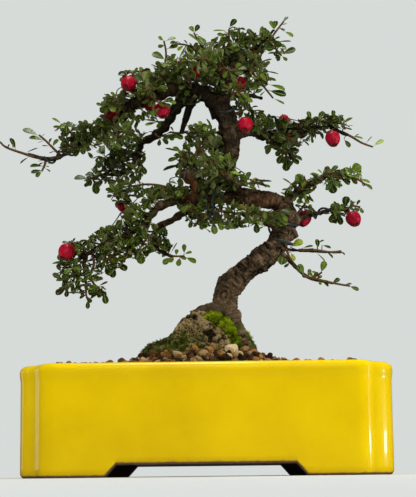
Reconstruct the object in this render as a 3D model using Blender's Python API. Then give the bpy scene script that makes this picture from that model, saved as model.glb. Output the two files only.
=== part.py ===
# A cotoneaster bonsai grown over a rock, in a glazed oblong pot with notched corners.
# Points, radii and sizes are millimetres, counted from the middle of the pot's base; the last step
# turns every mesh into metres. +X is the right of the front view, +Y the back and +Z up.

import math
import random

import bmesh
import bpy
import numpy as np
from mathutils import Matrix, Vector
from mathutils.bvhtree import BVHTree

METRES_PER_MM = 0.001
GAP = 0.3            # what touching pieces keep between them
POT_OFFSET_X = 3.0   # the branches reach further left, so the pot stands right of the origin

# Pot
POT_LENGTH = 144.0
POT_DEPTH = 106.0
POT_HEIGHT = 42.0
POT_FLARE = 1.0      # how much the wall leans out on its way up
POT_WALL = 5.0
POT_FLOOR_UNDER = 4.7
POT_FLOOR_TOP = 8.0
CAVITY_TAPER = 1.5   # how much narrower the inside is at the floor
NOTCH = 10.5         # the corner's step, the same along both sides
NOTCH_RADIUS = 3.5
ARC_STEPS = 3
LIP_SWELL = 0.6
LIP_HEIGHT = 5.4     # from the lip's top down to where the wall's swell begins
FOOT_EDGE = 1.2      # the soft lower edge
FOOT_RIM = 8.0
FOOT_GAP_HEIGHT = 4.5
FOOT_GAP_FRONT = 34.2    # half widths of the gaps between the feet, at mid height
FOOT_GAP_SIDE = 24.0
FOOT_GAP_SLOPE = 2.2
DRAIN_RADIUS = 6.0
DRAIN_X = 33.0
SCREEN_SIZE = 18.0
SCREEN_THICKNESS = 0.8
SCREEN_BAR = 2.0

# Soil
SOIL_EDGE_HEIGHT = 40.3
SOIL_MOUND = 7.6
SOIL_MOUND_HALF_X = 46.0
SOIL_MOUND_HALF_Y = 33.0
SOIL_RINGS = 5
SOIL_OVAL_X = 68.0    # the inner rings of its surface are ovals
SOIL_OVAL_Y = 50.0
SOIL_GRIT = 0.7
STONE_COUNT = 18
STONE_REACH = (58.0, 41.0)
STONE_RADII = (1.8, 3.2)
STONE_FREE = 24.0     # no drawn stone lies this near to the rock's middle

# Rock
ROCK_CENTRE = (-3.0, -9.0)
ROCK_TOP = 67.5
ROCK_FOOT = 39.0
ROCK_REACH_LEFT = 30.0
ROCK_REACH_RIGHT = 31.0
ROCK_REACH_FRONT = 25.0
ROCK_REACH_BACK = 26.0
ROCK_ROUGHNESS = 1.3
ROCK_SIDES = 16
ROCK_RINGS = 5

# Leaves, twigs and berries
LEAF_LENGTH = 5.8
LEAF_HALF_WIDTH = 1.55
LEAF_THICKNESS = 0.6
STEM_THICKNESS = 0.36    # a blade's root, inside the twig
LEAF_SPACING = 4.0
LEAF_ANGLE = 58.0
TWIG_RADIUS = 0.62
TWIG_TIP_RADIUS = 0.5
TWIG_STEP = 12.0
SHOOT_RADIUS = 0.42
SHOOT_LENGTH = 7.5
TWIG_CLEARANCE = 0.35
BERRY_RADIUS = 3.8
BERRY_SIDES = 8
BERRY_OFF_BARK = 1.2
STALK_RADIUS = 0.45
WIRE_RADIUS = 0.55
WIRE_PITCH = 4.6
WIRE_STEPS_PER_TURN = 8
WIRE_OFF_BARK = 0.45

# A blade's edge from its root round the tip: shares of its length and half width, and its lift
LEAF_OUTLINE = [(0.0, 0.0, 0.0), (0.56, 0.92, 0.1), (0.97, 0.42, 0.0), (0.97, -0.42, 0.0),
                (0.56, -0.92, 0.1)]

# A berry's half profile from the sunk blossom end to the shoulder below its stalk, in radii
BERRY_PROFILE = [(0.26, -1.0), (0.86, -0.55), (1.0, 0.1), (0.62, 0.8)]
BERRY_EYE = -0.72
BERRY_TOP = 0.95

# The trunk and its roots: points with the wood's radius at each
TRUNK = [((11, 4, 42), 7.4), ((11, 3, 52), 7.2), ((10, 3, 63), 6.5), ((9, 1, 73), 5.9),
         ((13, 0, 80), 5.4), ((20, -1, 87), 5.1), ((27, -2, 93), 4.8), ((33, -2, 99), 4.5),
         ((37, -1, 106), 3.8), ((36, 0, 113), 3.7), ((30, 1, 117), 3.5), ((22, 2, 119), 3.3),
         ((16, 3, 123), 3.1), ((13, 2, 131), 3.1), ((15, 0, 140), 3.05), ((14, -1, 149), 3.1),
         ((10, -1, 158), 3.7), ((9, 0, 166), 2.9), ((11, 0, 176), 2.4), ((14, 0, 186), 1.7),
         ((16, 1, 193), 1.1)]
ROOTS = [
    [((8, 1, 70), 4.6), ((1, -3, 70), 3.4), ((-5, -6, 67), 2.8), ((-11, -6, 61), 2.5),
     ((-18, -5, 55), 2.2), ((-24, -5, 48), 1.9), ((-27, -5, 43), 1.6)],
    [((11, 2, 66), 5.0), ((14, 0, 59), 4.0), ((17, -2, 53), 3.6), ((21, -4, 47), 3.0),
     ((24, -5, 42), 2.4)],
    [((12, -2, 66), 1.9), ((14, -7, 60), 1.3), ((16, -10, 54), 1.2), ((18, -12, 49), 1.2),
     ((20, -13, 44), 1.1)],
    [((11, 7, 62), 4.4), ((15, 13, 54), 3.4), ((18, 19, 48), 2.8), ((20, 23, 42), 2.2)],
    [((7, 6, 63), 4.0), ((0, 12, 55), 2.9), ((-6, 17, 48), 2.4), ((-10, 20, 42), 1.8)],
]

# The branches: points, the radii of their two ends, and how many sides their wood has
BRANCHES = {
    "left_high": ([(8, 0, 164), (1, -2, 168), (-8, -4, 170), (-18, -6, 167), (-26, -8, 163),
                   (-34, -9, 159), (-40, -10, 154), (-47, -11, 147), (-53, -12, 142), (-61, -13, 136),
                   (-68, -14, 134), (-76, -15, 136)], 2.7, 0.7, 6),
    "left_inner": ([(-8, -3, 169), (-14, 4, 164), (-19, 9, 158), (-24, 12, 153), (-29, 14, 149),
                    (-31, 15, 143), (-37, 16, 137), (-47, 17, 136)], 2.1, 0.7, 5),
    "left_stub": ([(-3, 0, 169), (-7, 6, 159), (-9, 9, 153)], 1.7, 0.8, 5),
    "middle": ([(15, 2, 120), (3, -3, 122), (-2, -6, 127), (-5, -8, 135)], 1.8, 0.8, 5),
    "left_low": ([(22, 2, 119), (7, -1, 119), (-1, -4, 118), (-7, -6, 118), (-14, -8, 116),
                  (-20, -10, 113), (-24, -11, 108), (-27, -12, 104), (-34, -13, 100), (-42, -14, 96),
                  (-49, -15, 92), (-55, -15, 88)], 2.9, 0.7, 6),
    "left_under": ([(3, 1, 118), (-9, 6, 115), (-15, 9, 112), (-22, 11, 109), (-23, 12, 103),
                    (-21, 12, 99), (-15, 13, 96)], 1.9, 0.7, 5),
    "right_middle": ([(34, 0, 115), (39, -2, 120), (42, -4, 122), (47, -6, 124), (52, -8, 126),
                      (58, -9, 127), (64, -10, 125)], 2.1, 0.6, 5),
    "right_low": ([(37, 0, 107), (42, 4, 111), (47, 7, 113), (53, 9, 115), (58, 11, 117)],
                  1.8, 0.7, 5),
    "right_high": ([(14, 0, 149), (21, 4, 151), (26, 7, 151), (32, 9, 152), (39, 11, 154),
                    (48, 12, 155), (56, 13, 158), (62, 13, 155), (69, 13, 151)], 2.3, 0.7, 5),
    "right_hanging": ([(34, 10, 152), (37, 7, 145), (39, 6, 139)], 1.1, 0.6, 4),
    "crown_right": ([(14, 0, 185), (21, -2, 187), (27, -5, 191), (32, -7, 196)], 1.3, 0.6, 4),
    "crown_side": ([(11, 0, 177), (20, -4, 178), (25, -8, 175), (28, -11, 168)], 1.5, 0.6, 4),
    "crown_back": ([(11, 0, 176), (8, 9, 183), (4, 18, 187)], 1.4, 0.7, 4),
    "crown_front": ([(9, 0, 168), (7, -10, 173), (3, -19, 175)], 1.4, 0.7, 4),
    "crown_left": ([(11, 0, 175), (4, -5, 179), (-4, -8, 182)], 1.3, 0.6, 4),
    "inner_front": ([(33, -3, 103), (27, -9, 105), (19, -13, 106)], 1.5, 0.8, 4),
    "front": ([(17, 2, 121), (12, -8, 124), (7, -18, 125)], 1.6, 0.7, 4),
    "right_twig": ([(31, -2, 96), (41, 3, 96), (51, 6, 96), (60, 8, 96)], 0.9, 0.5, 4),
    "right_hook": ([(31, -2, 96), (40, -4, 86), (45, -5, 82), (54, -8, 79)], 1.0, 0.6, 4),
    "back_high": ([(14, 0, 143), (12, 12, 149), (8, 23, 152), (3, 32, 151)], 1.9, 0.7, 5),
    "back_low": ([(25, 2, 118), (27, 12, 122), (30, 22, 124), (33, 31, 122)], 1.9, 0.7, 5),
    "back_crown": ([(9, 0, 166), (18, 8, 171), (27, 15, 172)], 1.4, 0.7, 4),
}
KNOT = ((38, -1, 102), (42, -1, 103))
KNOT_RADIUS = 2.4

# The leafy sprays: each twig's points, from the wood outwards, and how many side shoots it has
SPRAYS = {
    "spray_crown_top": ([(15, 0, 190), (14, -1, 195), (13, -2, 202)], 2),
    "spray_crown_left": ([(-2, -8, 182), (-3, -10, 187), (-4, -11, 194)], 2),
    "spray_crown_outer": ([(-3, -8, 181), (-8, -13, 178), (-14, -16, 178)], 2),
    "spray_crown_inner": ([(8, 0, 171), (1, 5, 176), (-7, 9, 179), (-15, 11, 178)], 2),
    "spray_tall_twig": ([(-10, -4, 170), (-14, -6, 175), (-16, -7, 183), (-17, -8, 192)], 1),
    "spray_crown_front": ([(4, -18, 175), (2, -25, 174), (-3, -31, 172)], 2),
    "spray_crown_right": ([(16, 1, 186), (22, 6, 186), (29, 10, 186), (36, 12, 184)], 2),
    "spray_crown_tip": ([(31, -7, 195), (34, -8, 199), (39, -9, 198)], 1),
    "spray_crown_side": ([(28, -10, 169), (30, -12, 164), (36, -14, 160)], 1),
    "spray_crown_back": ([(4, 18, 187), (1, 25, 189), (-5, 31, 188)], 2),
    "spray_high_upper": ([(-11, -4, 169), (-17, -8, 173), (-24, -10, 175), (-31, -12, 175)], 2),
    "spray_high_front": ([(-18, -6, 167), (-22, -17, 165), (-25, -26, 160)], 2),
    "spray_high_middle": ([(-34, -9, 159), (-41, -14, 161), (-48, -17, 158)], 2),
    "spray_high_under": ([(-40, -10, 154), (-42, -15, 147), (-36, -18, 142)], 1),
    "spray_high_along": ([(-48, -11, 146), (-53, -15, 149), (-60, -18, 150)], 2),
    "spray_high_twig": ([(-62, -13, 136), (-68, -14, 141), (-73, -15, 145), (-77, -16, 148)], 0),
    "spray_high_tip": ([(-75, -15, 136), (-81, -15, 138), (-87, -15, 141)], 1),
    "spray_inner_left": ([(-31, 14, 146), (-38, 18, 147), (-46, 21, 145)], 2),
    "spray_inner_low": ([(-46, 17, 136), (-52, 18, 136), (-59, 18, 134)], 2),
    "spray_inner_right": ([(-30, 15, 146), (-24, 18, 143), (-20, 19, 137)], 1),
    "spray_stub": ([(-9, 9, 154), (-3, 11, 150), (2, 11, 149)], 1),
    "spray_middle_left": ([(-2, -6, 127), (-8, -9, 131), (-15, -11, 134)], 2),
    "spray_middle_top": ([(-5, -8, 134), (-2, -9, 141), (3, -8, 145)], 2),
    "spray_middle_front": ([(8, -17, 125), (4, -24, 128), (0, -30, 127)], 2),
    "spray_middle_right": ([(13, 1, 130), (19, -6, 131), (24, -10, 128)], 2),
    "spray_low_upper": ([(-8, -6, 118), (-16, -9, 122), (-24, -11, 123), (-31, -12, 122)], 2),
    "spray_low_middle": ([(-25, -11, 108), (-33, -14, 110), (-41, -16, 107)], 2),
    "spray_low_under": ([(-33, -13, 100), (-32, -16, 92), (-36, -18, 85)], 1),
    "spray_low_hanging": ([(-49, -15, 92), (-46, -17, 84), (-48, -18, 77)], 2),
    "spray_low_tip": ([(-54, -15, 88), (-59, -16, 83), (-60, -17, 75)], 1),
    "spray_under_tip": ([(-16, 13, 97), (-9, 13, 95), (-4, 13, 93)], 1),
    "spray_under_bend": ([(5, -1, 118), (1, -5, 111), (-5, -7, 105)], 1),
    "spray_right_middle": ([(47, -6, 124), (49, -8, 130), (55, -10, 133)], 1),
    "spray_right_middle_tip": ([(63, -10, 125), (68, -11, 124), (73, -12, 121)], 0),
    "spray_right_low": ([(57, 11, 117), (64, 13, 118), (71, 14, 117)], 1),
    "spray_right_high": ([(33, 9, 152), (39, 11, 160), (46, 12, 162)], 2),
    "spray_right_hanging": ([(39, 6, 140), (41, 8, 135), (38, 9, 130)], 1),
    "spray_right_high_tip": ([(68, 13, 152), (75, 13, 152), (81, 13, 148)], 1),
    "spray_hook_tip": ([(53, -8, 79), (59, -9, 77), (64, -10, 76)], 0),
}

# Berries: the middle of each, and the way its blossom end points
BERRIES = {
    "berry_crown_left": ((-34, -18, 166), (-0.2, -0.7, -0.7)),
    "berry_high_left": ((-42, -19, 153), (-0.3, -0.4, -0.9)),
    "berry_high_inner": ((-17, -14, 156), (0.1, -0.3, -0.9)),
    "berry_crown_middle": ((18, -12, 149), (-0.1, -0.6, -0.8)),
    "berry_crown_front": ((16, -15, 169), (0.2, -0.5, -0.8)),
    "berry_crown_back": ((9, 18, 172), (0.1, 0.6, -0.8)),
    "berry_right_high": ((58, 5, 148), (0.1, -0.3, -0.9)),
    "berry_right_inner": ((44, 10, 104), (-0.3, -0.2, -0.9)),
    "berry_right_low": ((66, 7, 111), (0.3, -0.5, -0.8)),
    "berry_low_left": ((-58, -22, 90), (-0.3, -0.5, -0.8)),
    "berry_back_low": ((33, 24, 115), (0.0, 0.5, -0.9)),
}

# Moss cushions: points along each, with its thickness there
MOSS = {
    "moss_cushion": [((1, -5, 69), 1.8), ((5, -7, 66), 3.6), ((10, -8, 61), 4.4), ((13, -9, 55), 3.4),
                     ((15, -10, 51), 2.0)],
    "moss_flank": [((16, 2, 63), 1.4), ((18, 1, 59), 2.6), ((22, 0, 53), 2.8), ((25, -1, 48), 1.6)],
}
MOSS_SIDES = 8

# Loose stones: the middle and the size of those in front of the rock and along the rim
STONES = [((11, -22, 48), 3.4), ((3, -25, 47), 3.0), ((-6, -29, 46), 2.4), ((-14, -29, 46), 2.7),
          ((19, -19, 47), 2.7), ((26, -13, 46), 2.5), ((-30, -12, 46), 2.6), ((-38, -42, 42), 2.6),
          ((-31, -42, 42), 2.8), ((21, -43, 42), 2.4), ((35, -43, 42), 2.2), ((12, 25, 47), 3.0)]


def clear_scene():
    for item in list(bpy.data.objects):
        bpy.data.objects.remove(item, do_unlink=True)


def material(name, colour, roughness, metallic=0.0):
    made = bpy.data.materials.new(name)
    made.use_nodes = True
    shader = made.node_tree.nodes["Principled BSDF"]
    shader.inputs["Base Color"].default_value = (*colour, 1.0)
    shader.inputs["Roughness"].default_value = roughness
    shader.inputs["Metallic"].default_value = metallic
    made.diffuse_color = (*colour, 1.0)
    return made


def solid(name, points, faces, finish=None):
    """A mesh object from points and faces, with its faces pointing out."""
    mesh = bpy.data.meshes.new(name)
    mesh.from_pydata([tuple(float(value) for value in point) for point in points], [], faces)
    made = bpy.data.objects.new(name, mesh)
    bpy.context.scene.collection.objects.link(made)
    if finish is not None:
        mesh.materials.append(finish)
    face_out(mesh)
    return made


def face_out(mesh):
    shape = bmesh.new()
    shape.from_mesh(mesh)
    bmesh.ops.recalc_face_normals(shape, faces=shape.faces[:])
    shape.to_mesh(mesh)
    shape.free()


def combine(target, tools, operation, solver="EXACT"):
    """One Boolean between an object and all the tools, which are used up."""
    group = bpy.data.collections.new("tools")
    bpy.context.scene.collection.children.link(group)
    for tool in tools:
        bpy.context.scene.collection.objects.unlink(tool)
        group.objects.link(tool)
    step = target.modifiers.new(operation.lower(), "BOOLEAN")
    step.operation = operation
    step.operand_type = "COLLECTION"
    step.collection = group
    step.solver = solver
    bpy.context.view_layer.update()
    result = bpy.data.meshes.new_from_object(target.evaluated_get(bpy.context.evaluated_depsgraph_get()))
    target.modifiers.clear()
    target.data = result
    for tool in list(group.objects):
        bpy.data.objects.remove(tool, do_unlink=True)
    bpy.data.collections.remove(group)
    keep_largest(target)


def keep_largest(target):
    """Drops loose scraps that a cut leaves beside the main body."""
    shape = bmesh.new()
    shape.from_mesh(target.data)
    shape.faces.ensure_lookup_table()
    unseen = set(shape.faces)
    bodies = []
    while unseen:
        body = set()
        front = [unseen.pop()]
        while front:
            face = front.pop()
            body.add(face)
            for edge in face.edges:
                for other in edge.link_faces:
                    if other in unseen:
                        unseen.remove(other)
                        front.append(other)
        bodies.append(body)
    bodies.sort(key=len)
    scraps = [face for body in bodies[:-1] for face in body]
    bmesh.ops.delete(shape, geom=scraps, context="FACES")
    shape.to_mesh(target.data)
    shape.free()


def is_sound(made):
    """True where the body is closed and stays so when points closer than a micron are merged."""
    shape = bmesh.new()
    shape.from_mesh(made.data)
    bmesh.ops.remove_doubles(shape, verts=shape.verts[:], dist=0.001)
    sound = all(len(edge.link_faces) == 2 for edge in shape.edges)
    shape.free()
    return sound


def smooth(made, degrees=40.0):
    made.data.shade_smooth()
    made.data.set_sharp_from_angle(angle=math.radians(degrees))
    return made


def smooth_route(points, values, spacing):
    """Points on a rounded curve through the given ones, about one spacing apart, with their values."""
    given = np.array(points, dtype=float)
    ends = np.vstack([2 * given[0] - given[1], given, 2 * given[-1] - given[-2]])
    route = []
    along = []
    for index in range(1, len(ends) - 2):
        before, start, stop, after = ends[index - 1:index + 3]
        steps = max(1, round(float(np.linalg.norm(stop - start)) / spacing))
        for step in range(steps):
            t = step / steps
            curve = (2 * start + (stop - before) * t + (2 * before - 5 * start + 4 * stop - after) * t ** 2
                     + (3 * start - before - 3 * stop + after) * t ** 3)
            route.append(curve / 2)
            along.append(values[index - 1] * (1 - t) + values[index] * t)
    route.append(given[-1])
    along.append(values[-1])
    return np.array(route), np.array(along)


def frames(route):
    """The tangent of each point of a route, with two directions across it that don't spin."""
    tangents = np.gradient(route, axis=0)
    tangents /= np.linalg.norm(tangents, axis=1)[:, None]
    aside = np.cross(tangents[0], (0.31, 0.17, 0.93))
    sides = []
    for tangent in tangents:
        aside = aside - tangent * np.dot(aside, tangent)
        aside /= np.linalg.norm(aside)
        sides.append(aside.copy())
    sides = np.array(sides)
    return tangents, sides, np.cross(tangents, sides)


def tube(route, radii, sides, ripple=0.0):
    """Rings round a route, closed at both ends; a ripple makes the wood uneven."""
    _, across, over = frames(route)
    points = []
    for index, centre in enumerate(route):
        for side in range(sides):
            turn = 2 * math.pi * side / sides
            wave = math.sin(3 * turn + 0.9 * index) + 0.6 * math.sin(1.7 * index + side)
            reach = radii[index] * (1 + ripple * wave)
            points.append(centre + reach * (math.cos(turn) * across[index] + math.sin(turn) * over[index]))
    faces = [tuple(range(sides))]
    for ring in range(len(route) - 1):
        for side in range(sides):
            here = ring * sides + side
            beside = ring * sides + (side + 1) % sides
            faces.append((here, beside, beside + sides, here + sides))
    faces.append(tuple((len(route) - 1) * sides + side for side in range(sides)))
    return points, faces


def tube_solid(name, route, radii, sides, finish=None, ripple=0.0):
    points, faces = tube(route, radii, sides, ripple)
    return solid(name, points, faces, finish)


def pebble(middle, radius, stretch, turn):
    shape = bmesh.new()
    bmesh.ops.create_icosphere(shape, subdivisions=1, radius=1.0)
    place = (Matrix.Translation(Vector(middle)) @ Matrix.Rotation(turn, 4, "Z")
             @ Matrix.Diagonal((*[radius * value for value in stretch], 1.0)))
    bmesh.ops.transform(shape, matrix=place, verts=shape.verts)
    mesh = bpy.data.meshes.new("pebble")
    shape.to_mesh(mesh)
    shape.free()
    made = bpy.data.objects.new("pebble", mesh)
    bpy.context.scene.collection.objects.link(made)
    return made


def tree_of(points, faces):
    return BVHTree.FromPolygons([tuple(point) for point in points], faces, epsilon=0.0)


def tree_of_object(made):
    return tree_of([vertex.co for vertex in made.data.vertices],
                   [tuple(face.vertices) for face in made.data.polygons])


def arc(middle, radius, start, stop, steps):
    return [(middle[0] + radius * math.cos(math.radians(start + (stop - start) * step / steps)),
             middle[1] + radius * math.sin(math.radians(start + (stop - start) * step / steps)))
            for step in range(steps + 1)]


def notched_outline(inset, steps=ARC_STEPS):
    """The pot's plan, set in from its widest line: straight sides and stepped, rounded corners."""
    half_x = POT_LENGTH / 2 - inset
    half_y = POT_DEPTH / 2 - inset
    outer = max(NOTCH_RADIUS - inset, 0.6)
    inner = max(NOTCH_RADIUS + inset, 0.6)
    inner = min(inner, NOTCH - outer - 0.6)
    corner = (arc((half_x - outer, half_y - NOTCH - outer), outer, 0, 90, steps)
              + arc((half_x - NOTCH + inner, half_y - NOTCH + inner), inner, 270, 180, steps)
              + arc((half_x - NOTCH - outer, half_y - outer), outer, 0, 90, steps))
    back = corner + [(-x, y) for x, y in reversed(corner)]
    return back + [(-x, -y) for x, y in back]


def loft(name, levels, finish=None):
    """A closed solid through outlines of one count of points, each at its height."""
    count = len(levels[0][0])
    points = [(x, y, height) for outline, height in levels for x, y in outline]
    faces = [tuple(range(count))]
    for level in range(len(levels) - 1):
        for index in range(count):
            here = level * count + index
            beside = level * count + (index + 1) % count
            faces.append((here, beside, beside + count, here + count))
    faces.append(tuple((len(levels) - 1) * count + index for index in range(count)))
    return solid(name, points, faces, finish)


def wall_inset(height):
    return LIP_SWELL + POT_FLARE * (1 - height / POT_HEIGHT)


def cavity_inset(height):
    return POT_WALL + LIP_SWELL + CAVITY_TAPER * (POT_HEIGHT - height) / (POT_HEIGHT - POT_FLOOR_TOP)


def prism(name, outline, low, high, axis):
    """An outline in a plane through the height, drawn out along X or Y."""
    def place(across, height, along):
        return (across, along, height) if axis == "Y" else (along, across, height)
    count = len(outline)
    points = [place(across, height, low) for across, height in outline]
    points += [place(across, height, high) for across, height in outline]
    faces = [tuple(range(count)), tuple(range(count, 2 * count))]
    faces += [(index, (index + 1) % count, (index + 1) % count + count, index + count)
              for index in range(count)]
    return solid(name, points, faces)


def foot_gap(name, half_width, axis):
    half = [(half_width + FOOT_GAP_SLOPE + 1.6, -1.0), (half_width + FOOT_GAP_SLOPE, 0.9),
            (half_width - FOOT_GAP_SLOPE / 2, FOOT_GAP_HEIGHT)]
    outline = [(-across, height) for across, height in half] + list(reversed(half))
    reach = POT_LENGTH
    return prism(name, outline, -reach, reach, axis)


def cylinder(name, middle, radius, low, high, sides=16):
    outline = [(middle[0] + radius * math.cos(2 * math.pi * side / sides),
                middle[1] + radius * math.sin(2 * math.pi * side / sides)) for side in range(sides)]
    return loft(name, [(outline, low), (outline, high)])


def make_pot(finish):
    """Flared walls with a soft lip and four corner feet, hollow inside, with two drain holes."""
    top = POT_HEIGHT
    lip = top - LIP_HEIGHT
    levels = [(wall_inset(0) + FOOT_EDGE, 0.0), (wall_inset(0), FOOT_EDGE), (wall_inset(lip), lip),
              (0.0, lip + 1.8), (0.2, lip + 3.6), (1.2, lip + 4.9), (2.6, top)]
    pot = loft("pot", [(notched_outline(inset), height) for inset, height in levels], finish)
    low, high = POT_FLOOR_TOP, POT_HEIGHT + 1.0
    cavity = loft("cavity", [(notched_outline(cavity_inset(low)), low),
                             (notched_outline(cavity_inset(high)), high)])
    ring = notched_outline(FOOT_RIM, 1)
    under = loft("under", [(ring, -1.0), (ring, POT_FLOOR_UNDER)])
    drains = [cylinder("drain", (side * DRAIN_X, 0), DRAIN_RADIUS, -1.0, POT_FLOOR_TOP + 1.0)
              for side in (-1, 1)]
    combine(pot, [cavity, under, foot_gap("front_gap", FOOT_GAP_FRONT, "Y"),
                  foot_gap("side_gap", FOOT_GAP_SIDE, "X")] + drains, "DIFFERENCE")
    return smooth(pot, 35)


def make_screen(name, middle_x, finish):
    """A square of plastic mesh on the pot's floor, over a drain hole."""
    half = SCREEN_SIZE / 2
    bar = SCREEN_BAR / 2
    lines = [-half, -half + SCREEN_BAR, -bar, bar, half - SCREEN_BAR, half]
    count = len(lines)
    base = POT_FLOOR_TOP + GAP
    points = [(middle_x + x, y, height) for height in (base, base + SCREEN_THICKNESS)
              for y in lines for x in lines]
    holes = {(1, 1), (3, 1), (1, 3), (3, 3)}
    cells = {(column, row) for column in range(count - 1) for row in range(count - 1)} - holes
    faces = []
    for column, row in cells:
        corners = [row * count + column, row * count + column + 1,
                   (row + 1) * count + column + 1, (row + 1) * count + column]
        raised = [corner + count * count for corner in corners]
        faces += [tuple(corners), tuple(raised)]
        beside = [(column, row - 1), (column + 1, row), (column, row + 1), (column - 1, row)]
        for edge, neighbour in enumerate(beside):
            if neighbour not in cells:
                following = (edge + 1) % 4
                faces.append((corners[edge], corners[following], raised[following], raised[edge]))
    return solid(name, points, faces, finish)


def soil_height(x, y):
    spread = (x / SOIL_MOUND_HALF_X) ** 2 + (y / SOIL_MOUND_HALF_Y) ** 2
    return SOIL_EDGE_HEIGHT + SOIL_MOUND * math.exp(-spread ** 1.6)


def make_soil(finish, hollows):
    """A low mound of grit that fills the pot, with loose pebbles half sunk in its top."""
    draw = random.Random(11)
    rim = notched_outline(cavity_inset(SOIL_EDGE_HEIGHT) + GAP)
    foot = notched_outline(cavity_inset(POT_FLOOR_TOP) + GAP)
    count = len(rim)
    points = [(x, y, POT_FLOOR_TOP + GAP) for x, y in foot]
    points += [(x, y, SOIL_EDGE_HEIGHT) for x, y in rim]
    for ring in range(1, SOIL_RINGS):
        share = 1 - ring / SOIL_RINGS
        for index in range(count):
            turn = 2 * math.pi * (index + 0.5) / count
            x = share * SOIL_OVAL_X * math.cos(turn)
            y = share * SOIL_OVAL_Y * math.sin(turn)
            points.append((x, y, soil_height(x, y) + draw.uniform(-SOIL_GRIT, SOIL_GRIT)))
    points.append((0, 0, soil_height(0, 0)))
    faces = [tuple(range(count))]
    for ring in range(SOIL_RINGS):
        for index in range(count):
            here = ring * count + index
            beside = ring * count + (index + 1) % count
            faces.append((here, beside, beside + count, here + count))
    peak = len(points) - 1
    faces += [(SOIL_RINGS * count + index, SOIL_RINGS * count + (index + 1) % count, peak)
              for index in range(count)]
    soil = solid("soil", points, faces, finish)
    places = list(STONES)
    while len(places) < STONE_COUNT:
        x = draw.uniform(-STONE_REACH[0], STONE_REACH[0])
        y = draw.uniform(-STONE_REACH[1], STONE_REACH[1])
        radius = draw.uniform(*STONE_RADII)
        if abs(x - ROCK_CENTRE[0]) > STONE_FREE or abs(y) > STONE_FREE:
            places.append(((x, y, soil_height(x, y) + radius * 0.25), radius))
    stones = [pebble(middle, radius, (1.0, draw.uniform(0.7, 1.0), draw.uniform(0.6, 0.85)),
                     draw.uniform(0, math.pi)) for middle, radius in places]
    combine(soil, stones, "UNION")
    combine(soil, hollows, "DIFFERENCE")
    return soil


def rock_solid(name, clearance, finish=None):
    """A rough cone: its surface falls evenly from the top to the foot, with knobs and hollows."""
    draw = random.Random(5)
    points = [(ROCK_CENTRE[0], ROCK_CENTRE[1], ROCK_TOP + clearance)]
    for ring in range(1, ROCK_RINGS + 1):
        share = ring / ROCK_RINGS
        for side in range(ROCK_SIDES):
            turn = 2 * math.pi * side / ROCK_SIDES
            reach_x = ROCK_REACH_RIGHT if math.cos(turn) > 0 else ROCK_REACH_LEFT
            reach_y = ROCK_REACH_BACK if math.sin(turn) > 0 else ROCK_REACH_FRONT
            knob = draw.uniform(-ROCK_ROUGHNESS, ROCK_ROUGHNESS)
            at_foot = ring == ROCK_RINGS
            grow = clearance * (3.0 if at_foot else 1.2)
            out = 1 + (knob + grow) / (share * ROCK_REACH_LEFT)
            x = ROCK_CENTRE[0] + reach_x * share * out * math.cos(turn)
            y = ROCK_CENTRE[1] + reach_y * share * out * math.sin(turn)
            height = ROCK_TOP - (ROCK_TOP - ROCK_FOOT) * share ** 0.95
            lift = draw.uniform(-ROCK_ROUGHNESS, ROCK_ROUGHNESS)
            points.append((x, y, height - clearance if at_foot else height + lift + clearance))
    faces = [(0, 1 + side, 1 + (side + 1) % ROCK_SIDES) for side in range(ROCK_SIDES)]
    for ring in range(ROCK_RINGS - 1):
        for side in range(ROCK_SIDES):
            here = 1 + ring * ROCK_SIDES + side
            beside = 1 + ring * ROCK_SIDES + (side + 1) % ROCK_SIDES
            faces.append((here, beside, beside + ROCK_SIDES))
            faces.append((here, beside + ROCK_SIDES, here + ROCK_SIDES))
    first = 1 + (ROCK_RINGS - 1) * ROCK_SIDES
    faces.append(tuple(range(first, first + ROCK_SIDES)))
    return solid(name, points, faces, finish)


def wood_pieces(clearance, low_only):
    """The trunk, its roots and its branches as separate closed tubes, all grown by the clearance."""
    def stretch(points_and_radii, spacing, sides, ripple):
        places = [place for place, _ in points_and_radii]
        radii = [radius + clearance * 1.15 for _, radius in points_and_radii]
        route, along = smooth_route(places, radii, spacing)
        tangents = frames(route)[0]
        route[0] -= tangents[0] * clearance
        route[-1] += tangents[-1] * clearance
        return tube_solid("wood", route, along, sides, None, ripple)
    trunk_points = TRUNK[:6] if low_only else TRUNK
    pieces = [stretch(trunk_points, 6.5, 8, 0.05)]
    pieces += [stretch(root, 7.0, 6, 0.06) for root in ROOTS]
    if low_only:
        return pieces
    for points, first, last, sides in BRANCHES.values():
        radii = np.linspace(first, last, len(points))
        pieces.append(stretch(list(zip(points, radii)), 9.0, sides, 0.05))
    pieces.append(stretch([(KNOT[0], KNOT_RADIUS * 1.2), (KNOT[1], KNOT_RADIUS * 0.8)], 5.0, 6, 0.0))
    return pieces


def make_wood(finish):
    pieces = wood_pieces(0.0, False)
    trunk = pieces[0]
    trunk.name = "trunk"
    trunk.data.materials.append(finish)
    combine(trunk, pieces[1:], "UNION")
    return trunk


def moss_solid(name, clearance, finish=None):
    """A soft ridge: a rippled tube that swells in the middle and closes small at both ends."""
    places = [place for place, _ in MOSS[name]]
    radii = [radius + clearance * 1.3 for _, radius in MOSS[name]]
    route, along = smooth_route(places, radii, 6.0)
    tangents = frames(route)[0]
    route[0] -= tangents[0] * clearance
    route[-1] += tangents[-1] * clearance
    return tube_solid(name, route, along, MOSS_SIDES, finish, 0.08)


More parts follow.
